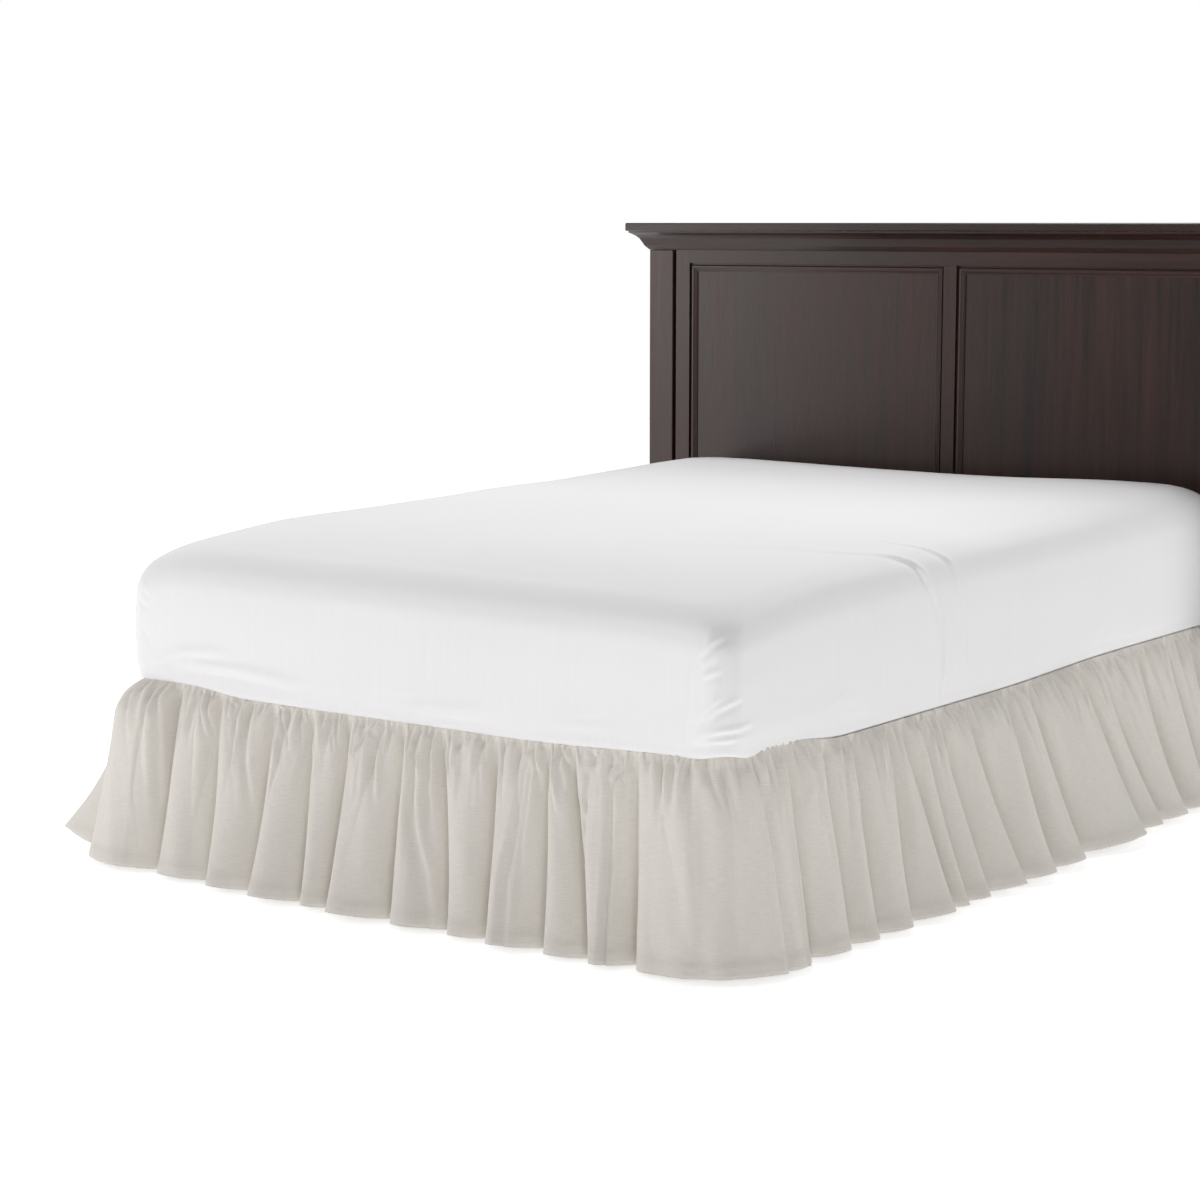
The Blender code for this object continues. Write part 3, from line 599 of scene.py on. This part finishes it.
def ring_points(around, inset, radius):
    """Points of a rounded rectangle at distances round the mattress from mid-foot."""
    side, run = np.sign(around), np.abs(around)
    half_x, half_y = EDGE_X - inset, MATTRESS_LENGTH / 2 - inset
    flat_x, flat_y = half_x - radius, half_y - radius
    lengths = (BASE_FOOT, BASE_ARC, BASE_SIDE, BASE_ARC, BASE_FOOT)
    starts = np.concatenate([[0], np.cumsum(lengths)])
    foot, turn, along, second, head = (
        clamp01((run - start) / length) for start, length in zip(starts, lengths)
    )
    turn, second = turn * math.pi / 2, second * math.pi / 2
    x = flat_x * (foot - head) + radius * (np.sin(turn) + np.cos(second) - 1)
    y = radius * (1 - np.cos(turn) + np.sin(second)) + 2 * flat_y * along - half_y
    return side * x, y


def slump(x, y):
    """Share of its height by which the mattress has sunk there, most at the foot."""
    down_bed = 0.5 - y / BED_LENGTH
    foot = np.maximum(0.0, (FOOT_SLUMP_LENGTH - (y - FOOT_Y)) / FOOT_SLUMP_LENGTH)
    corner = (np.abs(x) / EDGE_X) ** CORNER_SLUMP_POWER * foot
    head = HEAD_SQUARENESS * (x / EDGE_X) ** 2 * np.maximum(0.0, 1 - 2 * down_bed) ** 2
    drop = MATTRESS_TILT * down_bed + FOOT_SLUMP * foot**2 + CORNER_SLUMP * corner - head
    return drop / MATTRESS_HEIGHT


def curve_through(points, spacing):
    """A smooth curve through points, sampled at places that spacing(distance) sets apart."""
    points = np.array(points, float)
    length = lengths_along(points)
    slopes = np.gradient(points, length, axis=0)
    at = [0.0]
    while at[-1] < length[-1]:
        at.append(min(at[-1] + spacing(at[-1]), length[-1]))
    at = np.array(at)
    i = np.clip(np.searchsorted(length, at, side="right") - 1, 0, len(points) - 2)
    gap = (length[i + 1] - length[i])[:, None]
    t = (at - length[i])[:, None] / gap
    return (
        (2 * t**3 - 3 * t**2 + 1) * points[i]
        + (t**3 - 2 * t**2 + t) * gap * slopes[i]
        + (3 * t**2 - 2 * t**3) * points[i + 1]
        + (t**3 - t**2) * gap * slopes[i + 1]
    )


def press_crease(points, normals, path, width, height):
    """Presses a tuck along a path: the cloth rises on one side of it and sinks on the other."""
    path = curve_through(path, lambda _: PATH_STEP)
    done = lengths_along(path)
    done /= done[-1]
    low, high = path.min(axis=0) - TUCK_REACH, path.max(axis=0) + TUCK_REACH
    near = np.flatnonzero(np.all((points > low) & (points < high), axis=1))
    spot, normal = points[near], normals[near]
    best, offset, share = np.full((3, len(near)), np.inf)
    for a, b, start, end in zip(path, path[1:], done, done[1:]):
        step = b - a
        t = clamp01((spot - a) @ step / (step @ step))
        delta = spot - (a + t[:, None] * step)
        delta -= np.sum(delta * normal, axis=1, keepdims=True) * normal
        distance = np.linalg.norm(delta, axis=1)
        closer = distance < best
        best = np.where(closer, distance, best)
        across = np.sum(np.cross(normal, step) * delta, axis=1)
        offset = np.where(closer, np.sign(across) * distance, offset)
        share = np.where(closer, mix(start, end, t), share)
    offset = offset / width
    shape = np.exp(-0.5 * offset**2) * TUCK_PEAK * offset
    ends = np.sin(math.pi * np.clip(share, 0.001, 0.999)) ** TUCK_END_POWER
    points[near] += normal * (height * shape * ends)[:, None]


def side_point(around, z):
    """A point on the mattress's upright side, at a distance round it and a height."""
    x, y = ring_points(np.array([around]), -SIDE_BULGE, MATTRESS_CORNER)
    return (float(x[0]), float(y[0]), z)


PATH_STEP = 0.012  # between the points of a tuck's path
TUCK_REACH = 0.03  # round the path, beyond which nothing moves
TUCK_PEAK, TUCK_END_POWER = 1.65, 0.6
SIDE_BULGE = 0.006  # of the upright side past the deck's edge
# Each kind's (width, height).
CORNER_TUCK, MIRRORED_TUCK, CORNER_SEAM_TUCK, FOOT_TUCK = metres(
    ((4.2, 2.7), (4.2, 0.8), (6, 1.5), (8.5, 3.4))
)
LONG_FOLD_SIZES = metres(((5.5, 3.4), (5.5, 2), (13, 2.2)))
# Small tucks all round over the sheet's elastic: how many there are, and limits for their
# place over the deck, reach, rise, width and height.
RIM_TUCKS = 46
RIM_TUCK_LIMITS = metres(((12, 45), (40, 140), (-12, 30), (4, 7), (0.4, 1.1)))
# Creases at the foot-right corner, as stretches between (distance round, height) pairs.
CORNER_TUCKS = metres((
    ((628, 528), (650, 553), (682, 572)), ((634, 510), (652, 528)), ((636, 492), (668, 508)),
    ((626, 416), (646, 444), (672, 464)), ((634, 420), (664, 444), (704, 461)),
    ((610, 388), (660, 404), (740, 415)), ((612, 382), (655, 390), (700, 394)),
))
CORNER_SEAM = metres(((648, 612), (634, 560), (618, 510), (612, 440), (602, 372)))
FOOT_TUCKS = metres((
    ((-650, 384), (-540, 397), (-440, 398)), ((-560, 392), (-420, 394), (-250, 381)),
    ((-600, 402), (-520, 418), (-430, 424)), ((-30, 367), (70, 376), (180, 377)),
))
# Folds pressed across the top and down the right side, as points.
LONG_FOLDS = metres((
    ((565, -480, 650), (620, -420, 642), (668, -345, 618), (690, -288, 544),
     (693, -266, 470), (693, -262, 411), (690, -271, 362)),
    ((560, -300, 652), (640, -262, 640), (682, -215, 600), (692, -190, 540),
     (693, -178, 480), (692, -176, 410)),
    ((90, -542, 640), (180, -580, 643), (262, -599, 645), (370, -577, 648),
     (448, -531, 652), (600, -450, 646)),
))


def crease_sheet(points, normals, random):
    """Presses the fitted sheet's folds and tension creases into the mattress."""
    for path in CORNER_TUCKS:
        line = [side_point(*place) for place in path]
        press_crease(points, normals, line, *CORNER_TUCK)
        press_crease(points, normals, [(-x, y, z) for x, y, z in line], *MIRRORED_TUCK)
    seam = [side_point(*place) for place in CORNER_SEAM]
    press_crease(points, normals, seam, *CORNER_SEAM_TUCK)
    for path in FOOT_TUCKS:
        press_crease(points, normals, [side_point(*place) for place in path], *FOOT_TUCK)
    for path, size in zip(LONG_FOLDS, LONG_FOLD_SIZES):
        press_crease(points, normals, path, *size)
    for _ in range(RIM_TUCKS):
        around = random.uniform(-HALF_ROUND, HALF_ROUND)
        place, reach, rise, *size = (random.uniform(*limits) for limits in RIM_TUCK_LIMITS)
        shares = ((0.0, 0.0), (0.5, 0.7), (1.0, 1.0))
        z = SKIRT_TOP + place
        line = [side_point(around + reach * run, z + rise * up) for run, up in shares]
        press_crease(points, normals, line, *size)


def mattress_columns():
    """Distances round the mattress of its mesh's columns, closer where it creases."""
    right, place = [], 0.005
    while place < HALF_ROUND:
        right.append(place)
        creased = any(low < place < high for low, high in CREASED_RUNS)
        place += CREASED_STEP if creased else PLAIN_STEP
    return np.concatenate([-np.array(right)[::-1], right])


def mattress_row(around, inset, height):
    """The mattress's points all round, at one point of its profile."""
    radius = min(MATTRESS_CORNER + CORNER_GROWTH * max(inset, 0.0), CORNER_LIMIT * (EDGE_X - inset))
    x, y = ring_points(around, inset, radius)
    turn = clamp01((-around - BASE_FOOT) / BASE_ARC) * math.pi
    pull = MATTRESS_CORNER_PULL * (1 - 0.5 * height / MATTRESS_HEIGHT) * np.sin(turn) ** 2
    turn = clamp01((around - BASE_FOOT + LIFT_MARGIN) / (BASE_ARC + 2 * LIFT_MARGIN)) * math.pi
    lift = MATTRESS_CORNER_LIFT * np.sin(turn) ** 2 - rim_sag(x, y)
    z = SKIRT_TOP + height * (1 - slump(x, y)) + lift * (1 - smooth(height / SAG_FADE))
    return np.column_stack([x - DIAGONAL * pull, y - DIAGONAL * pull, z])


def make_mattress_cover(material):
    """The mattress in its fitted sheet, soft over its edges and lower at the foot."""
    around = mattress_columns()
    profile = curve_through(
        MATTRESS_PROFILE, lambda place: next(step for end, step in ROW_STEPS if place < end)
    )
    points = np.array([mattress_row(around, inset, height) for inset, height in profile])
    wrapped = np.concatenate([points[:, -1:], points, points[:, :1]], axis=1)
    normals = -grid_normals(wrapped)[:, 1:-1].reshape(-1, 3)
    count, columns = points.shape[:2]
    points = points.reshape(-1, 3)
    random = np.random.default_rng(41)
    swell = np.zeros(len(points))
    for _ in range(SWELL_WAVES):
        wave = random.normal(0, 1, 3)
        wave *= TWO_PI / random.uniform(*SWELL_LENGTHS) / np.linalg.norm(wave)
        swell += np.sin(points @ wave + random.uniform(0, 6.3))
    swell *= SWELL_HEIGHT / SWELL_WAVES**0.5 * smooth((points[:, 2] - SKIRT_TOP) / 0.05)
    points += normals * swell[:, None]
    crease_sheet(points, normals, random)
    faces = grid_faces(count, columns, closed=True)
    for first, flip in ((0, False), ((count - 1) * columns, True)):
        for i in range(columns // 2 - 1):
            face = (first + i, first + i + 1, first + columns - 2 - i, first + columns - 1 - i)
            faces.append(face if flip else face[::-1])
    piece = add_mesh("mattress_in_sheet", points, faces, material, closed=True)
    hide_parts("mattress")
    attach(piece, "root")


# ---- Box spring ----

BOX_MARGIN = 0.006  # by which it stays inside the deck's edge
BOX_BULGE = 0.0016
CORD_RADIUS = 0.0028  # of the piping round its edges
CORD_MARGIN = 0.001  # between the piping and the box's top or underside


def make_box_cover(material):
    """The box spring in its ticking, with a piped edge above and below."""
    low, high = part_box("box_spring")
    half_x, half_y = high.x, high.y
    quarter = np.linspace(0, math.pi / 2, 14)
    arc = np.column_stack([np.sin(quarter), -np.cos(quarter)])

    def half_outline(foot, head):
        """The right half's outline, with the radii of its foot and head corners."""
        side = np.linspace(foot - half_y, half_y - head, 40)[1:-1]
        side = np.column_stack([np.full(len(side), half_x), side])
        foot_arc = arc * foot + (half_x - foot, foot - half_y)
        head_arc = (arc * (head, -head))[::-1] + (half_x - head, half_y - head)
        return np.vstack([foot_arc, side, head_arc])

    head = RIGHT_CORNER - BOX_MARGIN
    right, left = half_outline(head, head), half_outline(LEFT_CORNER - BOX_MARGIN, head)
    outline = np.vstack([right, left[::-1] * (-1, 1)])
    tangent = np.roll(outline, -1, axis=0) - np.roll(outline, 1, axis=0)
    outward = np.column_stack([tangent[:, 1], -tangent[:, 0]])
    outward /= np.linalg.norm(outward, axis=1, keepdims=True)

    def ring(inset, z):
        """The outline at an inset and height, sunk with the deck above it."""
        plan = outline - outward * inset
        sunk = rim_sag(*plan.T) * smooth((z - low.z) / (high.z - low.z))
        return np.column_stack([plan, z - sunk])

    top, bottom = high.z, low.z
    profile = [(0.05, bottom), (0.008, bottom), (0.003, bottom + 0.003)]
    for share in np.linspace(0, 1, 9)[1:-1]:
        bulge = BOX_BULGE * math.sin(math.pi * share)
        profile.append((0.001 - bulge, mix(bottom + 0.006, top - 0.006, share)))
    profile += [(0.003, top - 0.003), (0.008, top), (0.05, top)]
    rings = [ring(inset, z) for inset, z in profile]
    columns = len(outline)
    faces = grid_faces(len(rings), columns, closed=True)
    last = (len(rings) - 1) * columns
    faces += [tuple(range(columns))[::-1], tuple(range(last, last + columns))]
    points = list(np.vstack(rings))
    turns = np.linspace(0, 2 * math.pi, 9)[:-1]
    for z in (bottom + CORD_RADIUS + CORD_MARGIN, top - CORD_RADIUS - CORD_MARGIN):
        start = len(points)
        circle = [(0.0005 - CORD_RADIUS * math.cos(t), CORD_RADIUS * math.sin(t)) for t in turns]
        loops = [ring(inset, z + rise) for inset, rise in circle]
        points += list(np.vstack(loops))
        for face in grid_faces(len(loops) + 1, columns, closed=True):
            faces.append(tuple(start + i % (len(loops) * columns) for i in face))
    piece = add_mesh("box_spring_cover", points, faces, material, closed=True)
    piece.data.set_sharp_from_angle(angle=math.radians(50))
    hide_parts("box_spring")
    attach(piece, "root")


# ---- Materials ----


class Nodes:
    """The nodes of a new material and its Principled shader."""

    def __init__(self, name, **values):
        self.material = bpy.data.materials.new(name)
        self.material.use_nodes = True
        self.tree = self.material.node_tree
        self.shader = self.tree.nodes["Principled BSDF"]
        for socket, value in values.items():
            self.join(value, self.shader.inputs[socket.replace("_", " ")])

    def join(self, value, socket):
        """Links a socket's value, or sets it."""
        if isinstance(value, bpy.types.NodeSocket):
            self.tree.links.new(value, socket)
        else:
            socket.default_value = value

    def add(self, kind, values=(), output=0, **settings):
        """A new node's output, with its inputs and settings given."""
        node = self.tree.nodes.new(kind)
        for name, value in settings.items():
            setattr(node, name, value)
        for name, value in dict(values).items():
            self.join(value, node.inputs[name])
        return node.outputs[output]

    def math(self, operation, *values):
        """The result of arithmetic."""
        return self.add("ShaderNodeMath", enumerate(values), operation=operation)

    def place(self):
        """The place on the object, in metres."""
        return self.add("ShaderNodeTexCoord", output=3)

    def paint(self, shade):
        """Gives the shader its colour."""
        self.join(shade, self.shader.inputs["Base Color"])

    def total(self, *terms):
        """The sum of (value, weight) terms."""
        parts = [self.math("MULTIPLY", value, weight) for value, weight in terms]
        while len(parts) > 1:
            parts[:2] = [self.math("ADD", *parts[:2])]
        return parts[0]

    def stretched(self, vector, scale):
        """A vector with each part scaled."""
        return self.add("ShaderNodeVectorMath", {0: vector, 1: scale}, operation="MULTIPLY")

    def noise(self, vector, scale=1.0, detail=2.0, roughness=0.5):
        """Soft noise between 0 and 1."""
        values = {"Vector": vector, "Scale": scale, "Detail": detail, "Roughness": roughness}
        return self.add("ShaderNodeTexNoise", values)

    def spread(self, value, low, high, to_low=0.0, to_high=1.0):
        """A value remapped from one range to another and held there."""
        return self.add("ShaderNodeMapRange", enumerate((value, low, high, to_low, to_high)))

    def blend(self, share, first, second):
        """A colour between two."""
        values = {0: share, 6: first, 7: second}
        return self.add("ShaderNodeMix", values, output=2, data_type="RGBA")

    def bump(self, height, distance, strength=1.0):
        """Relief of that depth, on the shader."""
        values = {"Height": height, "Distance": distance, "Strength": strength}
        self.join(self.add("ShaderNodeBump", values), self.shader.inputs["Normal"])


def colour(red, green, blue):
    """A linear colour from an sRGB one between 0 and 255."""
    parts = [c / 255 for c in (red, green, blue)]
    return (*(c / 12.92 if c < 0.04045 else ((c + 0.055) / 1.055) ** 2.4 for c in parts), 1.0)


def slub_cloth(name, light, dark, thread=0.00055, relief=0.00018):
    """A plain-woven cloth of uneven yarns, woven along its cloth map."""
    sheen = {"Sheen_Weight": 0.12, "Sheen_Roughness": 0.6}
    nodes = Nodes(name, Roughness=0.88, Specular_IOR_Level=0.25, **sheen)
    across_down = nodes.add("ShaderNodeUVMap", uv_map=CLOTH_MAP)
    parts = nodes.add("ShaderNodeSeparateXYZ", {0: across_down}).node.outputs[:2]
    threads = [nodes.math("SINE", nodes.math("MULTIPLY", p, TWO_PI / thread)) for p in parts]
    weave = nodes.math("MULTIPLY", *threads)
    weft_slub = nodes.noise(nodes.stretched(across_down, (42.0, 900.0, 1.0)), detail=3.0)
    warp_slub = nodes.noise(nodes.stretched(across_down, (1100.0, 26.0, 1.0)))
    heather = nodes.noise(nodes.stretched(across_down, (420.0, 420.0, 1.0)))
    tone = nodes.total((weft_slub, 0.55), (warp_slub, 0.25), (heather, 0.2))
    nodes.paint(nodes.blend(nodes.spread(tone, 0.36, 0.64), dark, light))
    nodes.bump(nodes.total((weave, 0.25), (weft_slub, 0.9), (warp_slub, 0.5)), relief)
    return nodes.material


def sheet_cotton():
    """A smooth white percale with faint pressed lines."""
    sheen = {"Sheen_Weight": 0.08, "Sheen_Roughness": 0.5}
    nodes = Nodes("white_percale", Roughness=0.82, Specular_IOR_Level=0.3, **sheen)
    place = nodes.place()
    lines = nodes.noise(nodes.stretched(place, (170.0, 170.0, 5.0)))
    weave = nodes.noise(nodes.stretched(place, (1500.0, 1500.0, 1500.0)), detail=1.0)
    cloud = nodes.noise(place, 2.2)
    tone = nodes.spread(nodes.total((lines, 0.6), (cloud, 0.4)), 0.3, 0.7)
    nodes.paint(nodes.blend(tone, (0.8, 0.79, 0.796, 1.0), (0.82, 0.81, 0.816, 1.0)))
    nodes.bump(nodes.total((lines, 0.3), (weave, 1.0)), 0.00008)
    return nodes.material


def ticking_cloth():
    """The box spring's off-white ticking, with fine upright threads."""
    nodes = Nodes("plain_ticking", Roughness=0.85, Sheen_Weight=0.1)
    place = nodes.place()
    twill = nodes.noise(nodes.stretched(place, (900.0, 900.0, 350.0)))
    cloud = nodes.noise(place, 6.0, 3.0)
    tone = nodes.spread(nodes.total((twill, 0.6), (cloud, 0.4)), 0.35, 0.65)
    nodes.paint(nodes.blend(tone, (0.58, 0.56, 0.52, 1.0), (0.7, 0.68, 0.64, 1.0)))
    nodes.bump(twill, 0.0003)
    return nodes.material


def stained_wood(name, grain_scale):
    """Espresso-stained wood under a satin lacquer, its grain along one axis."""
    nodes = Nodes(name, Specular_IOR_Level=0.38, Coat_Weight=0.14, Coat_Roughness=0.24)
    place = nodes.place()
    wander = nodes.noise(nodes.stretched(place, tuple(s * 0.12 for s in grain_scale)), 1.0, 3.0)
    grain = nodes.noise(nodes.stretched(place, grain_scale), 1.0, 5.0, 0.6)
    pores = nodes.noise(nodes.stretched(place, tuple(s * 6 for s in grain_scale)), 1.0, 2.0)
    streak = nodes.spread(nodes.total((grain, 0.6), (wander, 0.4)), 0.34, 0.68)
    stain = nodes.blend(streak, colour(23, 13, 11), colour(58, 28, 20))
    dark_pores = nodes.spread(pores, 0.6, 0.72, 0.0, 0.6)
    nodes.paint(nodes.blend(dark_pores, stain, colour(19, 12, 11)))
    nodes.join(nodes.spread(grain, 0.3, 0.7, 0.34, 0.46), nodes.shader.inputs["Roughness"])
    nodes.bump(nodes.math("SUBTRACT", nodes.math("MULTIPLY", grain, 0.4), dark_pores), 0.00025, 0.6)
    return nodes.material


def black_finish(name, roughness, shades, cloud, grain, relief):
    """A black finish with a fine grain; cloud and grain are their noises' numbers."""
    nodes = Nodes(name, Roughness=roughness)
    place = nodes.place()
    nodes.paint(nodes.blend(nodes.noise(place, *cloud), *shades))
    nodes.bump(nodes.noise(place, *grain), relief)
    return nodes.material


def floor_white():
    """Plain white paint with light of its own, more of it far from the bed."""
    nodes = Nodes("floor_white", Roughness=0.9, Emission_Color=(1.0, 1.0, 1.0, 1.0))
    nodes.paint((0.86, 0.86, 0.86, 1.0))
    away = nodes.add("ShaderNodeVectorMath", {0: nodes.place()}, output=1, operation="LENGTH")
    glow = nodes.spread(away, *FLOOR_GLOW_SPAN, *FLOOR_GLOW)
    nodes.join(glow, nodes.shader.inputs["Emission Strength"])
    return nodes.material


def finish_rigid_parts():
    """Gives each carried-over CAD node its material."""
    upright = stained_wood("espresso_upright", (55.0, 55.0, 2.6))
    level = stained_wood("espresso_level", (2.6, 55.0, 55.0))
    shades = ((0.02, 0.02, 0.021, 1.0), (0.034, 0.034, 0.036, 1.0))
    steel = black_finish("black_powder_coat", 0.5, shades, (25.0, 3.0), (900.0,), 0.0002)
    shades = ((0.028, 0.028, 0.028, 1.0), (0.045, 0.044, 0.043, 1.0))
    plastic = black_finish("black_glide_plastic", 0.62, shades, (60.0,), (1400.0, 1.0), 0.0001)
    wood_level = ("headboard_cap", "crown_moulding", "top_rail", "bottom_rail", "mounting_rail")
    wood_upright = ("post", "stile", "panel")
    for name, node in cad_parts.items():
        if name in wood_level or name.endswith(("_top", "_bottom")) and name.startswith("bead"):
            finish = level
        elif name.startswith((*wood_upright, "bead")):
            finish = upright
        elif name.startswith("glide"):
            finish = plastic
        else:
            finish = steel
        for slot in node.material_slots:
            slot.link = "OBJECT"
            slot.material = finish


# ---- Stage ----

FLOOR_HALF = 9.0
CAMERA_PLACE = (3.0116, -4.422, 1.2249)
CAMERA_TILT = math.radians(90 - 8.157)
CAMERA_TURN = math.radians(36.691)
CAMERA_LENS = 78.7  # on a 36 mm square
FLOOR_GLOW = (0.62, 1.02)  # round the bed, and far from it
FLOOR_GLOW_SPAN = (1.9, 3.9)  # distances from the bed's middle
# The floor under the bed has no light of its own and is painted a darker grey, as painted shade:
# half its width, its end at the foot, and its height over the lit floor.
UNLIT_HALF, UNLIT_FOOT, UNLIT_RISE = 0.66, -0.92, 0.0006
LIGHT_TARGET = Vector((0.0, 0.0, 0.5))
LIGHT_DISTANCE = 5.5
LIGHT_SIZE = 2.4
# Soft boxes: name, degrees round from +X and up from level, and watts.
LIGHTS = (
    ("key_high_behind", 124, 70, 190),
    ("key_behind", 96, 44, 114),
    ("sheen_left", -146, 12, 93),
    ("key_left", -114, 40, 40),
    ("fill_front", -52, 20, 62),
    ("window_right", 46, 18, 82),
)


def stage_card(name, half, near, far, z, material):
    """A level rectangle that isn't part of the object."""
    corners = [(-half, near, z), (half, near, z), (half, far, z), (-half, far, z)]
    add_mesh(name, corners, [(0, 1, 2, 3)], material)


def make_stage():
    """Floor, white surroundings, lights and camera."""
    stage_card("floor", FLOOR_HALF, -FLOOR_HALF, FLOOR_HALF, 0.0, floor_white())
    # Painted shade: a darker grey card under the bed, so that the ruffle's valleys see a dark floor
    # below them.
    unlit = Nodes("floor_unlit_painted_shade", Roughness=0.9)
    unlit.paint((0.6, 0.6, 0.6, 1.0))
    stage_card("floor_under_bed", UNLIT_HALF, UNLIT_FOOT, HEAD_Y, UNLIT_RISE, unlit.material)
    scene = bpy.context.scene
    world = bpy.data.worlds.new("studio")
    scene.world = world
    world.use_nodes = True
    background = world.node_tree.nodes["Background"]
    background.inputs["Color"].default_value = (1.0, 1.0, 1.0, 1.0)
    for kind in ("diffuse", "glossy", "transmission", "scatter"):
        setattr(world.cycles_visibility, kind, False)
    for name, azimuth, elevation, power in LIGHTS:
        turn, rise = math.radians(azimuth), math.radians(elevation)
        level = math.cos(rise)
        way = Vector((math.cos(turn) * level, math.sin(turn) * level, math.sin(rise)))
        light = bpy.data.lights.new(name, "AREA")
        light.shape, light.size, light.energy = "SQUARE", LIGHT_SIZE, power
        lamp = add_object(name, light)
        lamp.location = LIGHT_TARGET + LIGHT_DISTANCE * way
        lamp.rotation_euler = (-way).to_track_quat("-Z", "Y").to_euler()
    camera = add_object("camera", bpy.data.cameras.new("camera"))
    camera.data.lens = CAMERA_LENS
    camera.data.sensor_width = camera.data.sensor_height = 36.0
    camera.data.clip_end = 60.0
    camera.location = CAMERA_PLACE
    camera.rotation_euler = (CAMERA_TILT, 0.0, CAMERA_TURN)
    scene.camera = camera
    scene.view_settings.view_transform = "Standard"
    scene.view_settings.look = "None"


stone = slub_cloth("stone_slub", colour(227, 222, 215), colour(213, 208, 200))
# The deck's cotton is a darker, greyer beige than the ruffle's: partly its own cloth, partly
# painted shade for the shadow under the mattress's edge.
lining_and_shade = slub_cloth("deck_cotton_and_shade", colour(205, 201, 195), colour(190, 186, 179))
make_box_cover(ticking_cloth())
make_deck_cloth(lining_and_shade)
make_ruffle("left", LEFT_FOLDS, FOOT_FOLDS[0], 11, stone)
make_ruffle("foot", FOOT_FOLDS, RIGHT_FOLDS[0], 23, stone)
make_ruffle("right", RIGHT_FOLDS, LAST_VALLEY, 37, stone)
make_mattress_cover(sheet_cotton())
finish_rigid_parts()
make_stage()
